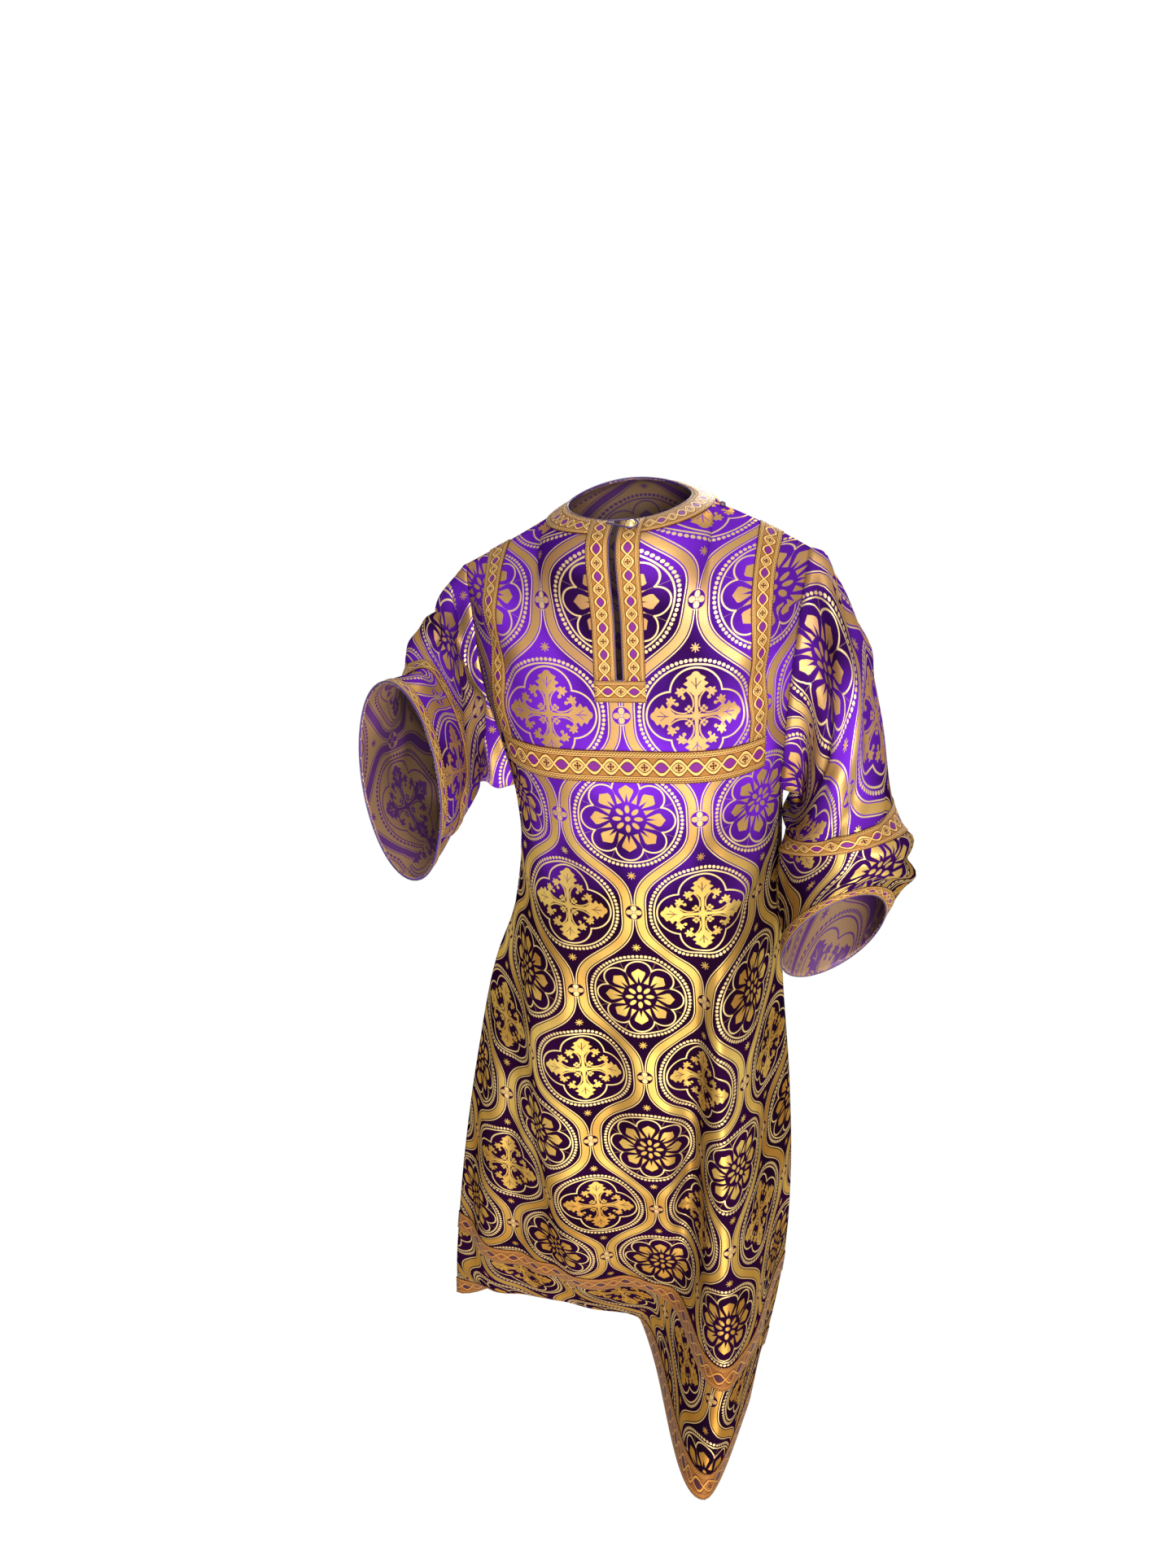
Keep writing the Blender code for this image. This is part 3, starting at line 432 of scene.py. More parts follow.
BACK_CREASES = metres((
    (-150, -60, -60, -140, 20, 4), (150, -60, 70, -150, 20, 4), (-170, -160, -80, -220, 16, -4),
    (172, -150, 80, -230, 16, -4), (-30, -110, 30, -200, 22, 3), (-160, -330, -90, -450, 18, 5),
    (160, -330, 90, -460, 18, 5), (-120, -390, -110, -560, 18, -4), (110, -420, 95, -600, 18, -5),
    (0, -420, -4, -700, 22, -5), (-110, -640, -125, -1000, 20, -6), (90, -680, 86, -1060, 18, -6),
    (-20, -760, -34, -1180, 20, 4), (-215, -760, -260, -1150, 20, -5),
    (-290, -900, -330, -1260, 20, 5), (150, -700, 150, -1100, 14, 4),
    (-170, -1020, -190, -1300, 18, -5), (60, -1050, 66, -1300, 16, 5),
))


# A crease bends by a share of its width, fades over a share of its length, and settles
# over this many rows or columns beside a sewn edge
CREASE_BEND, CREASE_END, SETTLE = 0.6, 0.30, 6.0


def line_share(px, py, row):
    """How strongly each point feels a crease: 1 on its line, fading beside it and at its ends."""
    x0, y0, x1, y1, width = row[:5]
    run = np.array([x1 - x0, y1 - y0])
    length = np.linalg.norm(run)
    run = run / length
    t = ((px - x0) * run[0] + (py - y0) * run[1]) / length
    beside = (px - x0) * run[1] - (py - y0) * run[0]
    bend = math.sin(37.0 * x0 + 11.0 * y0) * width * CREASE_BEND
    beside = beside - bend * np.sin(math.pi * np.clip(t, 0, 1))
    ends = ease(np.minimum(t, 1 - t) / CREASE_END + 0.25)
    return np.exp(-((beside / width) ** 2)) * ends


def creased(grid, normals, creases):
    shift = np.zeros(grid.shape[:2])
    for row in creases:
        shift += line_share(grid[..., 0], grid[..., 2], row) * row[5]
    columns = np.arange(grid.shape[1])
    beside = np.minimum(columns, columns[::-1]) / SETTLE
    below = np.clip((np.arange(grid.shape[0]) - NECK_ROWS) / SETTLE, 0, 1)
    shift = shift * ease(beside)[None, :] * ease(below)[:, None]
    return grid + normals * shift[:, :, None]


FRONT = creased(FRONT, grid_normals(FRONT, FRONT_CELLS, -1), FRONT_CREASES)
BACK = creased(BACK, grid_normals(BACK, BACK_CELLS, 1), BACK_CREASES)

# The panels share their edge below the vents
sewn = (slice(level_row(VENT_END), None), [0, -1])
FRONT[sewn] = BACK[sewn] = (FRONT[sewn] + BACK[sewn]) / 2
FRONT_N = grid_normals(FRONT, FRONT_CELLS, -1)
BACK_N = grid_normals(BACK, BACK_CELLS, 1)
FRONT_N[sewn] = BACK_N[sewn] = unit(FRONT_N[sewn] + BACK_N[sewn])
print("creases laid:", len(FRONT_CREASES) + len(BACK_CREASES))

# %% [markdown]
# ## Sleeves
# Each sleeve is a wide straight tube sewn into the armhole. The raised one is held out in
# front, so its opening faces the viewer. The other hangs, bends at the elbow and crumples.
# Rings of points run from the armhole to the edge, on smooth curves through the table rows.

# %% Rings of the sleeves
RINGS_PER_STEP, UNDER_STEPS, SAG = 5, 6, 0.006
UPPER_STEPS, LOWER_STEPS = 6, 3
MEAN_GIRTH = 0.55
# Each row: the percent along and the degrees round at one end, the same at the other, and
# the width and the rise in millimetres
RAISED_CREASES = (
    (4, 0, 20, 50, 14, 10), (5, 25, 26, 75, 12, -10), (4, -35, 24, 20, 14, -9),
    (10, 60, 34, 110, 15, 8), (8, -70, 30, -30, 18, 8), (30, -60, 60, -20, 18, 7),
    (30, 60, 62, 95, 18, -8), (35, 130, 70, 160, 20, 7), (20, 190, 55, 215, 20, -11),
    (30, 250, 70, 262, 20, -9), (15, 230, 50, 285, 18, 8), (50, 10, 95, 18, 20, 6),
    (55, 290, 98, 300, 20, -6), (60, 110, 100, 118, 20, -6), (22, 30, 46, 5, 12, -7),
    (18, 90, 42, 70, 12, 6), (2, 0, 30, 0, 50, -11),
)
HANGING_CREASES = (
    (3, 10, 20, 60, 13, 10), (4, -20, 22, 30, 14, -9), (5, 60, 26, 110, 13, -10),
    (10, 40, 40, 75, 16, 8), (8, -50, 30, -10, 14, 7), (28, 20, 50, 40, 16, -8),
    (30, 85, 56, 70, 16, 9), (42, 60, 62, 110, 14, -8), (50, 30, 64, 80, 12, 6),
    (76, -30, 79, 44, 16, -10), (82, -20, 85, 70, 15, 6), (88, 20, 90, 80, 15, -5),
    (70, 0, 73.5, 78, 14, 7), (79, 50, 75, 100, 16, -5), (30, 215, 60, 245, 20, -9),
    (62, 160, 90, 190, 20, 7), (15, 280, 45, 320, 18, 7), (45, 300, 80, 330, 18, -7),
    (26, 182, 56, 182, 45, 14),
)


def armhole(side):
    column = -1 if side > 0 else 0
    start, last = NECK_ROWS, level_row(UNDERARM) + 1
    fore, aft = FRONT[start:last, column], BACK[start:last, column]
    under = []
    for t in np.arange(1, UNDER_STEPS) / UNDER_STEPS:
        sag = np.array([0, 0, SAG * math.sin(math.pi * t)])
        under.append(fore[-1] + (aft[-1] - fore[-1]) * t - sag)
    return np.concatenate([fore, np.array(under), aft[:0:-1]])


def sleeve_section(row, turns, side):
    middle, run, top = np.array(row[:9]).reshape(3, 3)
    tall, deep = row[9:]
    run = unit(run)
    top = unit(top - run * (top @ run))
    fore = np.cross(run, top) * side
    ring = [top * math.cos(t) * tall + fore * math.sin(t) * deep for t in turns]
    return middle + np.array(ring)


def sleeve_stations():
    band_end = 1 - UPPER_BAND_UP / SLEEVE_CUT
    band_start = band_end - WIDE / SLEEVE_CUT
    edge_start = 1 - NARROW / SLEEVE_CUT
    marks = [band_start * k / UPPER_STEPS for k in range(UPPER_STEPS + 1)] + [band_end]
    lower = range(1, LOWER_STEPS + 1)
    marks += [band_end + (edge_start - band_end) * k / LOWER_STEPS for k in lower] + [1.0]
    places = range((len(marks) - 1) * RINGS_PER_STEP + 1)
    return np.interp([k / RINGS_PER_STEP for k in places], range(len(marks)), marks)


def ring_normals(rings):
    around = np.roll(rings, -1, axis=1) - np.roll(rings, 1, axis=1)
    normals = unit(np.cross(around, np.gradient(rings, axis=0)))
    if np.sum(normals * (rings - rings.mean(axis=1, keepdims=True))) < 0:
        normals = -normals
    return normals


def sleeve_grid(table, creases, side):
    loop = armhole(side)
    steps = np.linalg.norm(np.diff(np.concatenate([loop, loop[:1]]), axis=0), axis=1)
    turns = 2 * math.pi * np.concatenate([[0], np.cumsum(steps)[:-1]]) / steps.sum()
    eased = loop + np.array([side * ARMHOLE_EASE, 0.0, -SAG])
    knots = np.array([loop, eased] + [sleeve_section(row, turns, side) for row in table])
    keys = run_of(knots.mean(axis=1))
    rows = np.concatenate([keys[:, None] / keys[-1], knots.reshape(len(knots), -1)], axis=1)
    stations = sleeve_stations()
    smooth = np.array([smooth_row(rows, t)[1:].reshape(-1, 3) for t in stations])
    girth = np.linalg.norm(smooth - np.roll(smooth, 1, axis=1), axis=2).sum(axis=1, keepdims=True)
    normals = ring_normals(smooth)
    shift = np.zeros(smooth.shape[:2])
    degrees = np.degrees(turns)
    along = np.repeat(stations[:, None] * SLEEVE_CUT, smooth.shape[1], axis=1)
    for percent0, degree0, percent1, degree1, width, rise in creases:
        middle = (degree0 + degree1) / 2
        local = ((degrees - middle + 180) % 360 - 180) / 360 * girth
        near, far_end = [(degree - middle) / 360 * MEAN_GIRTH for degree in (degree0, degree1)]
        line = (percent0 / 100 * SLEEVE_CUT, near, percent1 / 100 * SLEEVE_CUT, far_end, width / 1000)
        shift += line_share(along, local, line) * (rise / 1000)
    rings = smooth + normals * (shift * ease(stations / 0.06)[:, None])[:, :, None]

    # The seam runs under the arm, and distances are counted from the top of the sleeve
    seam = int(np.argmin(np.abs(turns - math.pi)))
    rings, smooth = np.roll(rings, -seam, axis=1), np.roll(smooth, -seam, axis=1)
    closed = np.concatenate([smooth, smooth[:, :1]], axis=1)
    around = np.linalg.norm(np.diff(closed, axis=1), axis=2)
    across = np.concatenate([np.zeros((len(smooth), 1)), np.cumsum(around, axis=1)], axis=1)
    across = across - across[:, [len(turns) - seam]]
    steps = np.linalg.norm(np.diff(closed, axis=0), axis=2)
    down = np.concatenate([np.zeros((1, closed.shape[1])), np.cumsum(steps, axis=0)])
    down = (down + down.mean(axis=1, keepdims=True)) / 2
    return rings, np.stack([across, down], axis=2)


SLEEVES = {
    "right": sleeve_grid(RAISED_SLEEVE, RAISED_CREASES, -1),
    "left": sleeve_grid(HANGING_SLEEVE, HANGING_CREASES, 1),
}
print("sleeve rings:", {name: grid[0].shape for name, grid in SLEEVES.items()})

# %% [markdown]
# ## Reading the figure of the brocade
# The silk is woven with a figure that repeats: round medallions in rows, a rosette in one and
# a leafy cross in the next, between wavy gold bands that meet at small roundels. It could be
# drawn as an image, but a figure made of distances and angles stays sharp at every size. It
# reads the cloth's own UV map, in metres along the threads, so it bends with every fold.

# %% A value that can be reckoned with
REPEAT_WIDE, REPEAT_HIGH = 0.168, 0.260
HIGH = REPEAT_HIGH / REPEAT_WIDE
EIGHTH, QUARTER, ROUND = math.pi / 8, math.pi / 4, 2 * math.pi
PEARLS = 76


def filled(tree, node, inputs):
    """Gives each input its number, or a link from the node that works it out."""
    for name, value in inputs.items():
        value = value.socket if isinstance(value, Reading) else value
        if isinstance(value, bpy.types.NodeSocket):
            tree.links.new(value, node.inputs[name])
        else:
            node.inputs[name].default_value = value
    return node


def added(tree, kind, inputs, **settings):
    node = tree.nodes.new(kind)
    for name, value in settings.items():
        setattr(node, name, value)
    return filled(tree, node, inputs)


class Reading:
    """A value at each point of the cloth. Sums with it are made of Math nodes."""

    def __init__(self, tree, socket):
        self.tree, self.socket = tree, socket

    def made(self, kind, *others, clamp=False):
        inputs = dict(enumerate((self,) + others))
        node = added(self.tree, "ShaderNodeMath", inputs, operation=kind, use_clamp=clamp)
        return Reading(self.tree, node.outputs[0])

    def turned_over(self):
        return self.made("MULTIPLY_ADD", -1.0, 1.0)

    def kept(self):
        """The value, held between 0 and 1."""
        return self.made("ADD", 0.0, clamp=True)

    def wrapped(self, half):
        return self.made("WRAP", half, -half)

    def below(self, edge, soft=0.005):
        """1 where the value is under the edge, 0 over it, with a soft step between."""
        if isinstance(edge, Reading):
            return (self - edge).below(0.0, soft)
        return self.made("MULTIPLY_ADD", -1.0 / soft, edge / soft + 0.5, clamp=True)

    def above(self, edge, soft=0.005):
        return self.below(edge, soft).turned_over()

    def near(self, middle, half, soft=0.005):
        """1 within half a width of the middle: the value draws a line there."""
        return abs(self - middle).below(half, soft)


for word, kind in (
    ("__add__", "ADD"), ("__sub__", "SUBTRACT"), ("__mul__", "MULTIPLY"), ("__truediv__", "DIVIDE"),
    ("__pow__", "POWER"), ("__abs__", "ABSOLUTE"), ("least", "MINIMUM"), ("most", "MAXIMUM"),
    ("sine", "SINE"), ("cosine", "COSINE"), ("angle", "ARCTAN2"),
):
    setattr(Reading, word, lambda self, *others, kind=kind: self.made(kind, *others))


def apart(tree, kind, output, **settings):
    """The X, Y and Z of the place that a node gives."""
    place = added(tree, kind, {}, **settings).outputs[output]
    split = added(tree, "ShaderNodeSeparateXYZ", {0: place})
    return [Reading(tree, socket) for socket in split.outputs]


def far(a, b):
    return (a * a + b * b) ** 0.5


def chosen(a, b, share):
    return a + (b - a) * share


def spokes(r, turn):
    """Distances along the nearest spoke and beside it."""
    return r * turn.cosine(), r * turn.sine()


def leaf(along, side, start, length, half, lobes, depth, lean):
    """A leaf from start to its tip, its edge cut into lobes."""
    t = ((along - start) / length).kept()
    swell = ((t**lean) * math.pi).sine() ** 0.7
    edge = (t * (ROUND * lobes)).cosine() * depth + 1.0
    return abs(side).below(swell * edge * half, 0.008) * swell.above(0.05, 0.02)


# %% The figure itself
def brocade_figure(tree):
    """Where the cloth is gold, where the gold is pinkish, and where it is a pale fine line."""
    x, y, _ = apart(tree, "ShaderNodeUVMap", "UV", uv_map="cloth")
    x, y = x / REPEAT_WIDE, y / REPEAT_WIDE

    rose_x, rose_y = x.wrapped(0.5), y.wrapped(HIGH / 2)
    cross_x, cross_y = (x - 0.5).wrapped(0.5), (y - HIGH / 2).wrapped(HIGH / 2)
    to_rose, to_cross = far(rose_x, rose_y), far(cross_x, cross_y)
    is_cross = to_cross.below(to_rose, 0.001)
    mx, my = chosen(rose_x, cross_x, is_cross), chosen(rose_y, cross_y, is_cross)
    r = to_rose.least(to_cross)
    turn = mx.angle(my)
    inside, outside = r.below(0.400), r.above(0.398)

    # A thin ring, a ring of pearls, and a lobed line inside them
    ring = r.near(0.352, 0.0055)
    pearl_side = (turn * (PEARLS / ROUND)).wrapped(0.5) * (ROUND * 0.379 / PEARLS)
    pearl = far(pearl_side, r - 0.380).below(0.0118)
    e_along, e_side = spokes(r, turn.wrapped(EIGHTH))
    q_along, q_side = spokes(r, turn.wrapped(QUARTER))
    eight_lobes = abs(far(e_along - 0.235, e_side) - 0.098) + r.below(0.250)
    four_lobes = abs(far(q_along - 0.160, q_side) - 0.170)
    foil = chosen(eight_lobes, four_lobes, is_cross).below(0.0055)

    # Rosette: eight notched petals, thin spikes between them, seeds and a centre
    flare = (e_along - 0.105) * 0.47
    roof = (e_along * -1.0 + 0.266) * 1.4
    petal = (abs(e_side) - flare.least(roof).least(0.050)).below(0.0) * e_along.above(0.130)
    notch = abs(e_side).below((e_along * -1.0 + 0.200) * 0.19)
    b_along, b_side = spokes(r, (turn + EIGHTH).wrapped(EIGHTH))
    spike_half = ((b_along - 0.132) / 0.080).kept().turned_over() * 0.018
    spike = abs(b_side).below(spike_half) * b_along.above(0.132)
    seed = far((e_along - 0.077) * 0.55, e_side).below(0.0165)
    rosette = (petal * notch.turned_over()).most(spike).most(seed).most(r.below(0.019))

    # Cross: four lobed leaves on stems, and beside each stem a sprig that curls back
    beside = abs(q_side)
    big = leaf(q_along, q_side, start=0.138, length=0.168, half=0.068, lobes=4.0, depth=0.17, lean=0.95)
    vein = beside.below(0.0032) * q_along.below(0.262)
    vein = vein.most(beside.near((q_along - 0.200) * 0.8, 0.0030) * q_along.below(0.240))
    vein = vein * q_along.above(0.185)
    waist = q_along - 0.085
    stem = beside.below(waist * waist * 1.3 + 0.010) * q_along.below(0.175)
    shoot = far(q_along - 0.087, beside - 0.130).near(0.111, 0.0050)
    shoot = shoot * beside.below(0.088) * q_along.above(0.060)
    sprig_x, sprig_y = q_along - 0.166, beside - 0.103
    fingers = (sprig_x.angle(sprig_y) * 6.0 + 0.8).cosine() * 0.0070 + 0.0275
    sprig = far(sprig_x, sprig_y).below(fingers)
    sprig = sprig.most(far(q_along - 0.128, beside - 0.084).below(0.0125))
    sprig = sprig * far(q_along - 0.148, beside - 0.074).above(0.0095)
    d_along, d_side = spokes(r, (turn + QUARTER).wrapped(QUARTER))
    floret = far(abs(d_along - 0.070) - 0.0115, abs(d_side) - 0.0115).below(0.0105)
    floret = floret.most(abs(d_side).below(0.004) * d_along.below(0.060))
    cross = (big * vein.turned_over()).most(stem).most(shoot).most(sprig).most(floret)

    fine = ring.most(foil).most(pearl) * inside
    figure = chosen(rosette, cross, is_cross).most(ring).most(foil).most(pearl) * inside

    # Wavy bands with a dark and a light line at each side
    wave = (y * (ROUND / HIGH)).cosine()
    square = wave * wave
    band_x = wave * (square * -0.5 + 1.5) * 0.202 + 0.25
    tilt = ((square.turned_over() ** 3.0) * 1.5 + 1.0) ** 0.5
    away = abs(abs(rose_x) - band_x) / tilt
    outline = away.near(0.0405, 0.0036) * outside
    band = (away.below(0.0285) * outside).most(outline)

    # Roundels where the bands meet, and stars above and below them
    side_far, top_far = far(cross_x, rose_y), far(rose_x, cross_y)
    at_top = top_far.below(side_far, 0.001)
    hx, hy = chosen(cross_x, rose_x, at_top), chosen(rose_y, cross_y, at_top)
    h = side_far.least(top_far)
    disc = h.below(0.066)
    long_way, short_way = abs(hx).most(abs(hy)), abs(hx).least(abs(hy))
    bloom = far(long_way - 0.034, short_way * 1.1).below(0.0235).most(h.below(0.009))
    rim = h.near(0.0665, 0.0030)
    star_y = abs(hy) - 0.312
    points = abs((hx.angle(star_y) * 4.0).cosine()) ** 3.0
    star = far(hx, star_y).below(points * 0.020 + 0.013)

    gold = figure.most(band).most(star * outside)
    gold = chosen(gold, bloom, disc).most(rim)
    pink = (pearl * inside).most(disc * 0.9)
    return gold, pink, fine.most(outline), x, y


# %% [markdown]
# ## Finishes
# The gold threads shine along the fold and go brown away from the light, so the gold is partly
# metal in its shader. The ground is plain dark cloth, almost black low down; its violet near
# the shoulders, where the light falls on it, is painted light and sheen in its colour, and the
# gold there is a tan of painted cool light. Towards the hem the gold goes browner as painted
# shade. A gloss on the ground too would only turn it grey.

# %% Helpers for finishes
# The colour sockets of a Mix node share their names with others, so they go by number
MIX_FIRST, MIX_SECOND, MIX_RESULT = 6, 7, 2


def new_finish(name):
    made = bpy.data.materials.new(name)
    made.use_nodes = True
    return made, made.node_tree, made.node_tree.nodes["Principled BSDF"]


def blended(tree, share, first, second):
    """The first colour where the share is 0, the second where it is 1."""
    inputs = {"Factor": share}
    for slot, value in ((MIX_FIRST, first), (MIX_SECOND, second)):
        inputs[slot] = (*value, 1.0) if isinstance(value, tuple) else value
    return added(tree, "ShaderNodeMix", inputs, data_type="RGBA").outputs[MIX_RESULT]


def tones(tree, share, pairs):
    return {name: blended(tree, share, *pair) for name, pair in pairs.items()}


def noise(tree, x, y, scale_x, scale_y):
    """Noise on the cloth, finer the larger the scales across and along it."""
    joined = added(tree, "ShaderNodeCombineXYZ", {"X": x * scale_x, "Y": y * scale_y})
    inputs = {"Scale": 1.0, "Detail": 2.0, "Vector": joined.outputs[0]}
    return Reading(tree, added(tree, "ShaderNodeTexNoise", inputs).outputs["Fac"])


def bumped(tree, shader, height, strength, distance):
    inputs = {"Strength": strength, "Distance": distance, "Height": height}
    filled(tree, shader, {"Normal": added(tree, "ShaderNodeBump", inputs).outputs["Normal"]})


# %% Brocade, face and reverse
# Each tone goes from its first colour to its second in soft patches. The high tones are painted light
# near the shoulders: a tan gold as in cool light and a violet ground.
BROCADE_TONES = {
    "low gold": ((0.210, 0.100, 0.020), (0.450, 0.320, 0.085)),
    "high gold in painted cool light": ((0.228, 0.117, 0.054), (0.360, 0.216, 0.072)),
    "low ground": ((0.004, 0.001, 0.004), (0.010, 0.001, 0.012)),
    "high ground in painted light": ((0.028, 0.003, 0.088), (0.080, 0.010, 0.250)),
}
# The first of these is painted shade: the gold goes browner towards the hem
HEM_GOLD_PAINTED_SHADE, PALE_LINE, PINK = (0.225, 0.104, 0.018), (0.533, 0.422, 0.211), (0.396, 0.264, 0.174)
GRAIN_BROWN = (0.150, 0.075, 0.018)
REVERSE_FIGURE = ((0.040, 0.007, 0.062), (0.062, 0.012, 0.090))
REVERSE_GROUND = ((0.120, 0.062, 0.030), (0.190, 0.105, 0.050))


def height_share(tree, lower, upper, sway=0.0):
    """0 at the lower height, 1 at the upper one, with an uneven edge."""
    height = apart(tree, "ShaderNodeTexCoord", "Object")[2] + sway
    return ((height - lower) / (upper - lower)).kept()


def face_colours(tree, x, y, patches, grain, fine, pink):
    """The colours of the gold and of the ground on the face of the silk, with painted light near the
    shoulders and painted shade towards the hem.
    """
    sway = patches - 0.5
    sheen_clouds = noise(tree, x + 3.7, y, 0.9, 0.8)
    # Painted light: near the shoulders the gold takes the tan of a cool light
    upper = height_share(tree, -0.44, -0.26, sway * 0.25)
    # Painted sheen: the ground turns violet near the shoulders, in clouds, where light falls on it
    violet = height_share(tree, -0.45, -0.34, sway * 0.16)
    violet = violet * ((sheen_clouds - 0.45) * 5.0 + 0.35).kept() + violet * 0.12
    # Painted shade: the gold goes browner towards the hem
    deep = height_share(tree, -0.70, -1.25, sway * 0.30)
    tone = tones(tree, (sway * 3.0 + 0.5).kept(), BROCADE_TONES)
    bright = blended(tree, deep * 0.75, tone["low gold"], HEM_GOLD_PAINTED_SHADE)
    bright = blended(tree, upper, bright, tone["high gold in painted cool light"])
    bright = blended(tree, fine * 0.65, bright, PALE_LINE)
    bright = blended(tree, pink * 0.25, bright, PINK)
    bright = blended(tree, ((grain - 0.42) * 1.2).kept(), bright, GRAIN_BROWN)
    return bright, blended(tree, violet, tone["low ground"], tone["high ground in painted light"])


def brocade(name, face):
    made, tree, shader = new_finish(name)
    gold, pink, fine, x, y = brocade_figure(tree)
    grain = noise(tree, x, y, 90.0, 420.0)
    patches = noise(tree, x, y, 1.4, 1.1)
    if face:
        bright, ground = face_colours(tree, x, y, patches, grain, fine, pink)
        rough = grain * 0.14 + (gold * -0.06 + 0.46)
        inputs = {"Specular IOR Level": 0.0, "Specular Tint": (0.85, 0.55, 0.35, 1.0)}
        inputs.update({"Metallic": gold * 0.7, "Roughness": rough})
    else:
        bright = blended(tree, patches, *REVERSE_FIGURE)
        ground = blended(tree, grain, *REVERSE_GROUND)
        inputs = {"Metallic": 0.15, "Roughness": 0.6}
    inputs["Base Color"] = blended(tree, gold, ground, bright)
    filled(tree, shader, inputs)
    bumped(tree, shader, gold * 0.6 + grain * 0.5, 0.35, 0.0006)
    return made


BROCADE = brocade("brocade face", True)
BROCADE_REVERSE = brocade("brocade reverse", False)
print("brocade nodes:", len(BROCADE.node_tree.nodes))

# %% [markdown]
# ## Galloon
# Galloon is a woven ribbon. Two gold waves cross each other down its middle, and the eyes
# between them hold a disc with a small dark cross and a purple lozenge in turn. Its UV map
# counts repeats along it and goes from 0 to 1 across it, so one finish serves both widths.

# %% Galloon finish
# Each tone goes from its first colour near the shoulders to its second at the skirt: the lighter
# colours near the shoulders are painted light, the darker ones at the skirt painted shade
GALLOON_TONES = {
    "tan": ((0.160, 0.062, 0.020), (0.110, 0.036, 0.005)),
    "yellow": ((0.410, 0.250, 0.075), (0.250, 0.110, 0.018)),
    "plate": ((0.340, 0.205, 0.065), (0.150, 0.058, 0.010)),
    "purple": ((0.090, 0.008, 0.108), (0.022, 0.004, 0.012)),
    "inside": ((0.190, 0.082, 0.015), (0.125, 0.044, 0.006)),
}
BROWN, PLUM, ROPE_SHADE = (0.047, 0.008, 0.004), (0.030, 0.005, 0.005), (0.10, 0.030, 0.005)
GALLOON_GRAIN = (0.08, 0.026, 0.006)


def galloon():
    made, tree, shader = new_finish("galloon weave")
    run, across, _ = apart(tree, "ShaderNodeUVMap", "UV", uv_map="cloth")
    across = across - 0.5
    along, side = run.wrapped(0.5) * 1.1, abs(across)
    to_lozenge = abs((run - 0.5).wrapped(0.5)).below(0.25, 0.02)
    wave = (run * ROUND).cosine() * 0.215
    strand = abs(across - wave).least(abs(across + wave)) / 1.2
    inner = side.below(0.290, 0.01)
    gold_wave = strand.below(0.036, 0.008) * inner
    outline = strand.below(0.066, 0.008) * inner
    eye = (side - abs(wave)).below(-0.075, 0.016)
    lozenge, disc = eye * to_lozenge, eye * to_lozenge.turned_over()
    diamond = (abs(along) + side).below(0.128, 0.014)
    arms = disc * diamond * far(abs(along) - 0.042, side - 0.042).above(0.021, 0.010)
    rope_zone = side.near(0.385, 0.036, 0.008)
    rope = rope_zone * ((run * 11.0 + across * 14.0) * ROUND).sine().below(0.15, 0.5)
    dark = side.near(0.295, 0.010, 0.006).most(side.near(0.340, 0.008, 0.006))
    dark = dark.most(side.near(0.430, 0.009, 0.006)).most(side.near(0.488, 0.014, 0.006))
    light = side.near(0.318, 0.011, 0.008).most(side.near(0.446, 0.006, 0.006))
    scallop = strand.near(0.080, 0.006, 0.008) * inner * eye.turned_over()

    tone = tones(tree, height_share(tree, -0.30, -1.00), GALLOON_TONES)
    colour = blended(tree, inner * 0.8, tone["tan"], tone["inside"])
    for share, tint in (
        (scallop * 0.7, BROWN), (outline, PLUM), (disc, tone["plate"]), (arms, BROWN),
        (lozenge, tone["purple"]), (gold_wave, tone["yellow"]), (rope_zone, ROPE_SHADE),
        (rope, tone["yellow"]), (light, tone["yellow"]), (dark, BROWN),
    ):
        colour = blended(tree, share, colour, tint)
    grain = noise(tree, run, across, 160.0, 60.0)
    colour = blended(tree, ((grain - 0.40) * 0.8).kept(), colour, GALLOON_GRAIN)
    inputs = {"Metallic": 0.15, "Roughness": 0.50, "Specular IOR Level": 0.06}
    filled(tree, shader, {"Base Color": colour, **inputs})
    raised = gold_wave.most(disc * 0.5).most(rope).most(light)
    bumped(tree, shader, raised * 0.7 + grain * 0.5, 0.5, 0.0006)
    return made


GALLOON_FINISH = galloon()
print("galloon nodes:", len(GALLOON_FINISH.node_tree.nodes))


# %% Plain finishes
def plain(name, colour, roughness, metallic, scale, strength):
    made, tree, shader = new_finish(name)
    place = added(tree, "ShaderNodeTexCoord", {}).outputs["Object"]
    texture = added(tree, "ShaderNodeTexNoise", {"Scale": scale, "Detail": 3.0, "Vector": place})
    spots = Reading(tree, texture.outputs["Fac"])
    darker = tuple(channel * 0.55 for channel in colour)
    rough = spots * 0.2 + (roughness - 0.1)
    inputs = {"Metallic": metallic, "Roughness": rough}
    filled(tree, shader, {"Base Color": blended(tree, spots, darker, colour), **inputs})
    bumped(tree, shader, spots, strength, 0.0004)
    return made


CORD_FINISH = plain("purple cord", (0.026, 0.005, 0.055), 0.55, 0.0, 1400.0, 0.5)
THREAD_FINISH = plain("gold thread", (0.38, 0.22, 0.065), 0.5, 0.2, 900.0, 0.3)
BRASS_FINISH = plain("brass", (0.92, 0.66, 0.24), 0.26, 1.0, 260.0, 0.15)
DARK_FINISH = plain("dark button", (0.060, 0.025, 0.030), 0.4, 0.0, 500.0, 0.3)
print("plain finishes made")

# %% [markdown]
# ## Pieces of cloth
# Each cut piece becomes one mesh: a grid of four-cornered faces with the cloth's own UV map,
# given its thickness by Solidify, so that the reverse of the silk can have its own finish.

# %% Making a piece from a grid
def linked(name, data):
    made = bpy.data.objects.new(name, data)
    bpy.context.scene.collection.objects.link(made)
    return made


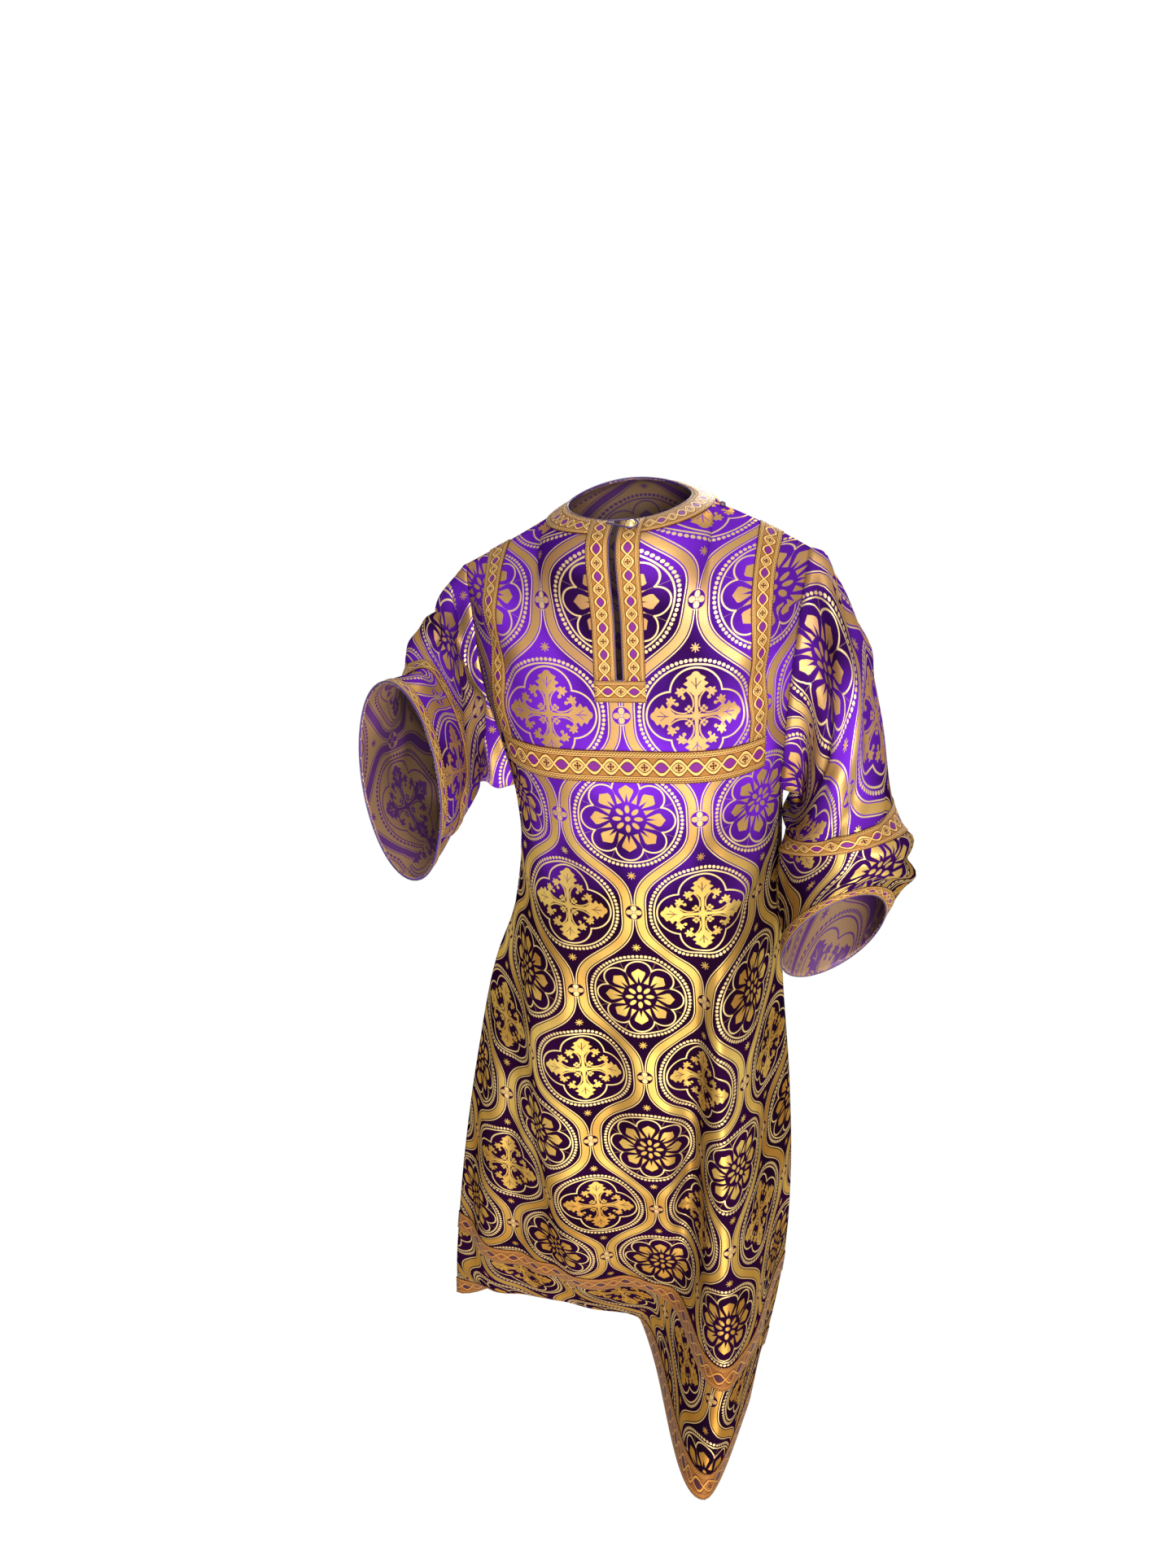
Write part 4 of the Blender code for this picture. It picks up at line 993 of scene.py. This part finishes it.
def mesh_object(name, points, edges, faces, finishes=()):
    mesh = bpy.data.meshes.new(name)
    mesh.from_pydata([tuple(point) for point in points], edges, faces)
    mesh.polygons.foreach_set("use_smooth", [True] * len(faces))
    for finish in finishes:
        mesh.materials.append(finish)
    return linked(name, mesh)


def piece_from_grid(name, grid, normals, cells, places, finishes, thickness):
    """Makes a sheet of the cells that are cloth. Cells past the last column close it to a tube."""
    rows, columns = grid.shape[:2]
    used = np.argwhere(cells)
    i, j = used[len(used) // 2]
    k = (j + 1) % columns
    face = np.cross(grid[i + 1, k] - grid[i, j], grid[i + 1, j] - grid[i, k])
    in_order = face @ normals[i, j] > 0
    number = -np.ones((rows, columns), dtype=int)
    points, faces, corners_uv = [], [], []
    for i, j in used:
        corners = [(i, j), (i, j + 1), (i + 1, j + 1), (i + 1, j)]
        if not in_order:
            corners = [corners[0], *corners[:0:-1]]
        faces.append([])
        for row, uv_column in corners:
            column = uv_column % columns
            if number[row, column] < 0:
                number[row, column] = len(points)
                points.append(grid[row, column])
            faces[-1].append(int(number[row, column]))
            corners_uv.append(places[row, uv_column])
    made = mesh_object(name, points, [], faces, finishes)
    layer = made.data.uv_layers.new(name="cloth")
    layer.data.foreach_set("uv", np.array(corners_uv, dtype=float).ravel())
    wall = made.modifiers.new("thickness", "SOLIDIFY")
    wall.thickness = thickness
    wall.offset = 0.0
    wall.use_even_offset = True
    wall.material_offset = len(finishes) - 1
    return made


def stands_for(piece, node):
    """Tells what a piece moves with, what it stands for, if anything."""
    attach(piece, "root")
    if node:
        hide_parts(node)
    return piece


def cut_area(grid, cells, closed=False):
    if closed:
        grid = np.concatenate([grid, grid[:, :1]], axis=1)
    face = np.cross(grid[1:, 1:] - grid[:-1, :-1], grid[1:, :-1] - grid[:-1, 1:])
    return float((np.linalg.norm(face, axis=2) / 2 * cells).sum())


# %% Front, back and sleeves
SIDES = [BROCADE, BROCADE_REVERSE]
# Where the figure of the silk starts on each cut piece
FIGURE_START = {
    "front_panel": (0.0, -0.331), "back_panel": (0.0, -0.331),
    "sleeve_right": (0.128, 0.174), "sleeve_left": (0.060, 0.220),
}
cuts = {
    "front_panel": (FRONT, FRONT_N, FRONT_CELLS, FRONT_CLOTH, False),
    "back_panel": (BACK, BACK_N, BACK_CELLS, BACK_CLOTH, False),
}
for tag, (rings, places) in SLEEVES.items():
    cells = np.ones((rings.shape[0] - 1, rings.shape[1]), dtype=bool)
    cuts[f"sleeve_{tag}"] = (rings, ring_normals(rings), cells, places, True)
sheets = {}
for node, (grid, normals, cells, places, closed) in cuts.items():
    shifted = places + np.array(FIGURE_START[node])
    piece = piece_from_grid(node + "_silk", grid, normals, cells, shifted, SIDES, CLOTH)
    sheets[node] = (stands_for(piece, node), cut_area(grid, cells, closed))
print("areas:", {name: round(area, 3) for name, (_, area) in sheets.items()})

# %% Galloon strips
NARROW_REPEAT, WIDE_REPEAT = 0.030, 0.039
# The points of the cloth with the ways they face, so that one slice takes both
front, back = np.stack([FRONT, FRONT_N]), np.stack([BACK, BACK_N])
tubes = {tag: np.stack([rings, ring_normals(rings)]) for tag, (rings, _) in SLEEVES.items()}
trims = {}


def strip(node, skin, repeat, closed=False, along_rows=False):
    """A strip of galloon lifted off the cloth. It runs along the columns, or along the rows."""
    grid, normals = np.swapaxes(skin, 1, 2) if along_rows else skin
    lifted = grid + normals * LIFT
    line = lifted[len(lifted) // 2]
    if closed:
        line = np.concatenate([line, line[:1]])
    along = run_of(line) / repeat
    if closed:
        along = along * round(along[-1]) / along[-1]
    places = np.zeros((grid.shape[0], len(along), 2))
    places[..., 0] = along[None, :]
    places[..., 1] = np.linspace(0, 1, grid.shape[0])[:, None]
    cells = np.ones((grid.shape[0] - 1, len(along) - 1), dtype=bool)
    piece = piece_from_grid(node + "_woven", lifted, normals, cells, places, [GALLOON_FINISH], GALLOON)
    trims[node] = (stands_for(piece, node), lifted, normals, closed)


upper = slice(UPPER_STEPS * RINGS_PER_STEP, (UPPER_STEPS + 1) * RINGS_PER_STEP + 1)
for tag, tube in tubes.items():
    strip(f"sleeve_upper_band_{tag}", tube[:, upper], WIDE_REPEAT, closed=True)
    strip(f"sleeve_edge_band_{tag}", tube[:, -RINGS_PER_STEP - 1 :], NARROW_REPEAT, closed=True)

top, bottom, slit = level_row(YOKE_TOP), level_row(YOKE_BOTTOM), level_row(SLIT_END)
inset, outset, neck = [k * ACROSS for k in (YOKE_IN_COLUMN, YOKE_OUT_COLUMN, NECK_COLUMN)]


def mirrored(first, last):
    """The same columns on both sides of the centre line."""
    right = slice(MIDDLE - last, MIDDLE - first + 1)
    return ("right", right), ("left", slice(MIDDLE + 1 + first, MIDDLE + 2 + last))


def round_neck(rows, first):
    """The cloth round the neck, from one side of the slit over the back to the other."""
    fore = front[:, rows, MIDDLE - first : MIDDLE - neck - 1 : -1]
    aft = back[:, rows, MIDDLE - neck + 1 : MIDDLE + 1 + neck]
    home = front[:, rows, MIDDLE + 1 + neck : MIDDLE + first : -1]
    return np.concatenate([fore, aft, home], axis=-2)


fore_rows, aft_rows = slice(top, NECK_ROWS - 1, -1), slice(NECK_ROWS + 1, top + 1)
for tag, columns in mirrored(inset, outset):
    skin = np.concatenate([front[:, fore_rows, columns], back[:, aft_rows, columns]], axis=1)
    strip(f"yoke_band_{tag}", skin, NARROW_REPEAT, along_rows=True)
for name, rows, columns in (
    ("yoke_band", slice(top, bottom + 1), slice(MIDDLE - outset, MIDDLE + 2 + outset)),
    ("skirt_band", slice(level_row(SKIRT_TOP), level_row(SKIRT_BOTTOM) + 1), slice(None)),
    ("hem_band", slice(level_row(HEM_TOP), level_row(HEM) + 1), slice(None)),
):
    for tag, skin in (("front", front), ("back", back)):
        strip(f"{name}_{tag}", skin[:, rows, columns], WIDE_REPEAT)

for tag, columns in mirrored(0, ACROSS):
    strip(f"slit_galloon_{tag}", front[:, : slit + 1, columns], NARROW_REPEAT, along_rows=True)
foot = slice(MIDDLE - ACROSS, MIDDLE + 2 + ACROSS)
strip("slit_galloon_foot", front[:, slit : level_row(FOOT_END) + 1, foot], NARROW_REPEAT)
strip("neck_galloon", round_neck(slice(0, NECK_ROWS + 1), ACROSS), NARROW_REPEAT)
print("galloon strips:", len(trims))

# %% [markdown]
# ## Piping and stitches
# A dark cord edges the neck, the slit and the sleeves, and each galloon is sewn down along
# both its edges. Both follow a path, so Geometry Nodes make them: the piping is a circle
# swept along the path, and a stitch is set down again and again at an even spacing.

# %% Node trees for cord and stitches
def path_object(name, lines):
    points, edges = [], []
    for line, closed in lines:
        start = len(points)
        points += list(line)
        edges += [(start + k, start + k + 1) for k in range(len(line) - 1)]
        if closed:
            edges.append((start + len(line) - 1, start))
    return mesh_object(name, points, edges, [])


def new_tree(name, sizes):
    """A tree with named inputs, and the sockets that give them."""
    tree = bpy.data.node_groups.new(name, "GeometryNodeTree")
    kinds = {"Geometry": "NodeSocketGeometry", "Finish": "NodeSocketMaterial"}
    for size in ("Geometry", *sizes, "Finish"):
        kind = kinds.get(size, "NodeSocketFloat")
        tree.interface.new_socket(size, in_out="INPUT", socket_type=kind)
    tree.interface.new_socket("Geometry", in_out="OUTPUT", socket_type="NodeSocketGeometry")
    return tree, tree.nodes.new("NodeGroupInput").outputs


def finish_tree(tree, given, geometry):
    real = added(tree, "GeometryNodeRealizeInstances", {0: geometry})
    inputs = {"Geometry": real.outputs[0], "Material": given["Finish"]}
    dress = added(tree, "GeometryNodeSetMaterial", inputs)
    added(tree, "NodeGroupOutput", {0: dress.outputs[0]})
    return tree


def cord_tree():
    tree, given = new_tree("Cord along a path", ("Radius",))
    curve = added(tree, "GeometryNodeMeshToCurve", {"Mesh": given["Geometry"]})
    sizes = {"Resolution": 8, "Radius": given["Radius"]}
    circle = added(tree, "GeometryNodeCurvePrimitiveCircle", sizes)
    inputs = {"Curve": curve.outputs[0], "Profile Curve": circle.outputs["Curve"]}
    sweep = added(tree, "GeometryNodeCurveToMesh", {**inputs, "Fill Caps": True})
    return finish_tree(tree, given, sweep.outputs["Mesh"])


def stitch_tree():
    tree, given = new_tree("Stitches along a path", ("Spacing", "Length", "Thickness"))
    curve = added(tree, "GeometryNodeMeshToCurve", {"Mesh": given["Geometry"]})
    inputs = {"Curve": curve.outputs[0], "Length": given["Spacing"]}
    spaced = added(tree, "GeometryNodeResampleCurve", inputs, mode="LENGTH")
    bead = added(tree, "GeometryNodeMeshIcoSphere", {"Radius": 0.5, "Subdivisions": 1})
    thick = given["Thickness"]
    sizes = added(tree, "ShaderNodeCombineXYZ", {"X": given["Length"], "Y": thick, "Z": thick})
    tangent = added(tree, "GeometryNodeInputTangent", {})
    inputs = {"Vector": tangent.outputs[0]}
    along = added(tree, "FunctionNodeAlignRotationToVector", inputs, axis="X")
    inputs = {"Points": spaced.outputs["Curve"], "Instance": bead.outputs["Mesh"]}
    inputs.update({"Rotation": along.outputs[0], "Scale": sizes.outputs[0]})
    laid = added(tree, "GeometryNodeInstanceOnPoints", inputs)
    return finish_tree(tree, given, laid.outputs["Instances"])


def grown(source, tree, sizes):
    """Runs a tree on a path and keeps the result as a plain mesh."""
    modifier = source.modifiers.new("grow", "NODES")
    modifier.node_group = tree
    for item in tree.interface.items_tree:
        if item.in_out == "INPUT" and item.name in sizes:
            modifier[item.identifier] = sizes[item.name]
    depsgraph = bpy.context.evaluated_depsgraph_get()
    mesh = bpy.data.meshes.new_from_object(source.evaluated_get(depsgraph), depsgraph=depsgraph)
    source.modifiers.remove(modifier)
    source.data = mesh
    mesh.polygons.foreach_set("use_smooth", [True] * len(mesh.polygons))
    return source


# %% Piping at the neck, the slit and the sleeves
PIPE = 0.0011
edge_out = CLOTH / 2 + GAP
up_slit, down_slit = front[:, slit:0:-1, MIDDLE], front[:, 1 : slit + 1, MIDDLE + 1]
neck_line = np.concatenate([up_slit, round_neck(0, 0), down_slit], axis=1)
edges = [neck_line] + [tube[:, -1] for tube in tubes.values()]
cords = [(points + normals * edge_out, True) for points, normals in edges]
CORD_TREE, STITCH_TREE = cord_tree(), stitch_tree()
piping = grown(path_object("edge_piping", cords), CORD_TREE, {"Radius": PIPE, "Finish": CORD_FINISH})
stands_for(piping, None)
print("piping faces:", len(piping.data.polygons))

# %% Stitches along both edges of each galloon
STITCH_IN = 0.0013
STITCH = {"Spacing": 0.0036, "Length": 0.0024, "Thickness": 0.0007, "Finish": THREAD_FINISH}
lines = []
for _, grid, normals, closed in trims.values():
    for first, second in ((0, 1), (-1, -2)):
        inward = unit(grid[second] - grid[first]) * STITCH_IN
        lines.append((grid[first] + inward + normals[first] * (GALLOON / 2), closed))
stitches = grown(path_object("galloon_stitches", lines), STITCH_TREE, STITCH)
stands_for(stitches, None)
print("stitch faces:", len(stitches.data.polygons))

# %% [markdown]
# ## Buttons and loop
# The slit closes with one brass button at the top and a loop of the same cord as the piping.
# A turned button is a profile spun round its axis, so its mesh is made from rings.

# %% Turned buttons
def turned(name, place, axis, profile, finish, sides=32):
    axis = unit(axis)
    across = unit(np.cross(axis, np.array([0.3, 0.1, 1.0])))
    other = np.cross(axis, across)
    points, faces = [], []
    for radius, height in profile:
        for k in range(sides):
            turn = 2 * math.pi * k / sides
            out = across * math.cos(turn) + other * math.sin(turn)
            points.append(place + axis * height + out * radius)
    for ring in range(len(profile) - 1):
        for k in range(sides):
            a, b = ring * sides + k, ring * sides + (k + 1) % sides
            faces.append((a, b, b + sides, a + sides))
    faces.append(tuple(range(sides))[::-1])
    faces.append(tuple((len(profile) - 1) * sides + k for k in range(sides)))
    return mesh_object(name, points, [], faces, [finish])


def button_profile(radius, height):
    """Radius and height of each ring, from the foot over the rim to the top of the dome."""
    rows = [(0.50, -0.04), (0.80, 0.0), (0.98, 0.06), (1.0, 0.16), (0.97, 0.26), (0.90, 0.32)]
    rows += [(0.86, 0.31), (0.82, 0.36), (0.70, 0.62), (0.52, 0.84), (0.32, 0.96), (0.14, 1.0)]
    return [(radius * share, height * rise) for share, rise in rows + [(0.04, 1.0)]]


BUTTON, BUTTON_HEIGHT, BUTTON_STANDS = 0.0064, 0.0055, 0.0008
SMALL_BUTTON, SMALL_HEIGHT, SMALL_STANDS = 0.004, 0.0035, 0.0006
face = LIFT + GALLOON / 2 + 0.0002
points, ways = front[:, 0, MIDDLE + 1] + front[:, NECK_ROWS, MIDDLE + 1 + ACROSS]
lean = unit(ways)
place = points / 2 + lean * (face + BUTTON_STANDS)
button = turned("neck_button_turned", place, lean, button_profile(BUTTON, BUTTON_HEIGHT), BRASS_FINISH)
stands_for(button, "neck_button")

# %% Cord loop round the button
LOOP, LOOP_CLEAR = 0.0020, 0.0006
start = FRONT[0, MIDDLE] * 0.75 + FRONT[NECK_ROWS, MIDDLE - ACROSS] * 0.25
around = unit(np.cross(lean, np.array([1.0, 0.0, 0.0])))
ahead = np.cross(around, lean)
turns = [math.radians(110 - 10 * k) for k in range(23)]
wide = BUTTON + LOOP / 2 + LOOP_CLEAR
bow = [place + (ahead * math.cos(t) + around * math.sin(t)) * wide for t in turns]
base = start + unit(FRONT_N[0, MIDDLE]) * face
path = [base + around * LOOP] + bow + [base - around * LOOP]
path = [point + lean * LOOP * 1.1 for point in path]
sizes = {"Radius": LOOP / 2, "Finish": CORD_FINISH}
loop = grown(path_object("neck_loop_cord", [(path, False)]), CORD_TREE, sizes)
stands_for(loop, "neck_loop")
print("loop faces:", len(loop.data.polygons))

# %% Small button on the shoulder
inner = MIDDLE + 1 + neck
points, ways = front[:, NECK_ROWS, inner] + front[:, NECK_ROWS, inner + ACROSS]
lean = unit(ways)
profile = button_profile(SMALL_BUTTON, SMALL_HEIGHT)
place = points / 2 + lean * (CLOTH / 2 + SMALL_STANDS)
small = turned("shoulder_button_turned", place, lean, profile, DARK_FINISH, 24)
stands_for(small, "shoulder_button")
print("buttons and loop made")

# %% [markdown]
# ## Sheets of cloth
# Each brocade piece is a sheet: its flat size is what a maker would cut. The galloon, the
# piping and the fastening are sewn to it and go with it.

# %% The flat size of each sheet and what is sewn to it
def trim_pieces(*words):
    """The galloon strips with any of the words in their names."""
    return [row[0] for node, row in trims.items() if any(word in node for word in words)]


front_trim = trim_pieces("_front", "slit_", "neck_", "yoke_band_right", "yoke_band_left")
FLAT = {
    "front_panel": (1.12, 1.45, "hung", front_trim + [piping, stitches, button, loop, small]),
    "back_panel": (1.00, 1.45, "hung", trim_pieces("_back")),
    "sleeve_right": (0.62, 0.46, "draped", trim_pieces("band_right")[:2]),
    "sleeve_left": (0.62, 0.46, "draped", trim_pieces("band_left")[:2]),
}
for node, (wide, long, held, others) in FLAT.items():
    piece, area = sheets[node]
    area = round(min(area, wide * long), 4)
    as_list(others)

# %% [markdown]
# ## Light and camera
# A bright white room, lamps near the viewer so that the folds facing them shine and those
# turned away go brown, and a camera that stands to the viewer's right, a little above the
# shoulders, tilted as the photograph's was.

# %% Light
def aimed(name, data, right, up, back, place):
    """Sets a lamp or a camera down with the directions of its own axes."""
    made = linked(name, data)
    rows = [list(row) for row in zip(right, up, back, place)]
    made.matrix_world = Matrix(rows + [[0, 0, 0, 1]])
    return made


def lamp(name, place, target, size, power, colour):
    data = bpy.data.lights.new(name, "AREA")
    data.shape, data.size, data.energy, data.color = "SQUARE", size, power, colour
    back = unit(np.array(place) - np.array(target))
    right = unit(np.cross([0.0, 0.0, 1.0], back))
    aimed(name, data, right, np.cross(back, right), back, place)


lamp("key", (0.9, -2.5, 0.3), (0.0, 0.0, -0.7), 1.0, 170.0, (0.96, 0.98, 1.0))
lamp("low", (0.2, -2.0, -2.1), (0.0, 0.0, -0.8), 1.5, 75.0, (1.0, 0.95, 0.88))
lamp("top", (0.5, -0.9, 2.2), (0.0, 0.0, -0.3), 1.4, 32.0, (0.94, 0.92, 1.0))
lamp("behind", (0.5, 2.8, 0.6), (0.0, 0.0, -0.6), 1.6, 130.0, (1.0, 0.98, 0.95))

world = bpy.data.worlds.new("white room")
world.use_nodes = True
room = {"Color": (1.0, 1.0, 1.0, 1.0), "Strength": 1.0}
filled(world.node_tree, world.node_tree.nodes["Background"], room)
bpy.context.scene.world = world
bpy.context.scene.view_settings.view_transform = "Standard"
print("lamps:", [light.name for light in bpy.data.lights])

# %% Camera
azimuth, pitch, roll = math.radians(14.0), math.radians(27.0), math.radians(4.7)
ahead = [-math.sin(azimuth) * math.cos(pitch), math.cos(azimuth) * math.cos(pitch), -math.sin(pitch)]
forward = np.array(ahead)
level = np.array([math.cos(azimuth), math.sin(azimuth), 0.0])
upward = np.cross(level, forward)
right = math.cos(roll) * level - math.sin(roll) * upward
up = math.sin(roll) * level + math.cos(roll) * upward
lens = bpy.data.cameras.new("view")
lens.sensor_width, lens.lens = 36.0, 27.03
camera = aimed("view", lens, right, up, -forward, (0.2494, -1.3041, 0.3312))
bpy.context.scene.camera = camera
print("camera at", tuple(round(value, 3) for value in camera.matrix_world.translation))

# %% The sizes of the imported model and of the dressed scene
bpy.context.view_layer.update()
visual_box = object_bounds()
sizes = {"cad": [list(corner) for corner in cad_box], "visual": [list(corner) for corner in visual_box]}
print("boxes:", sizes)
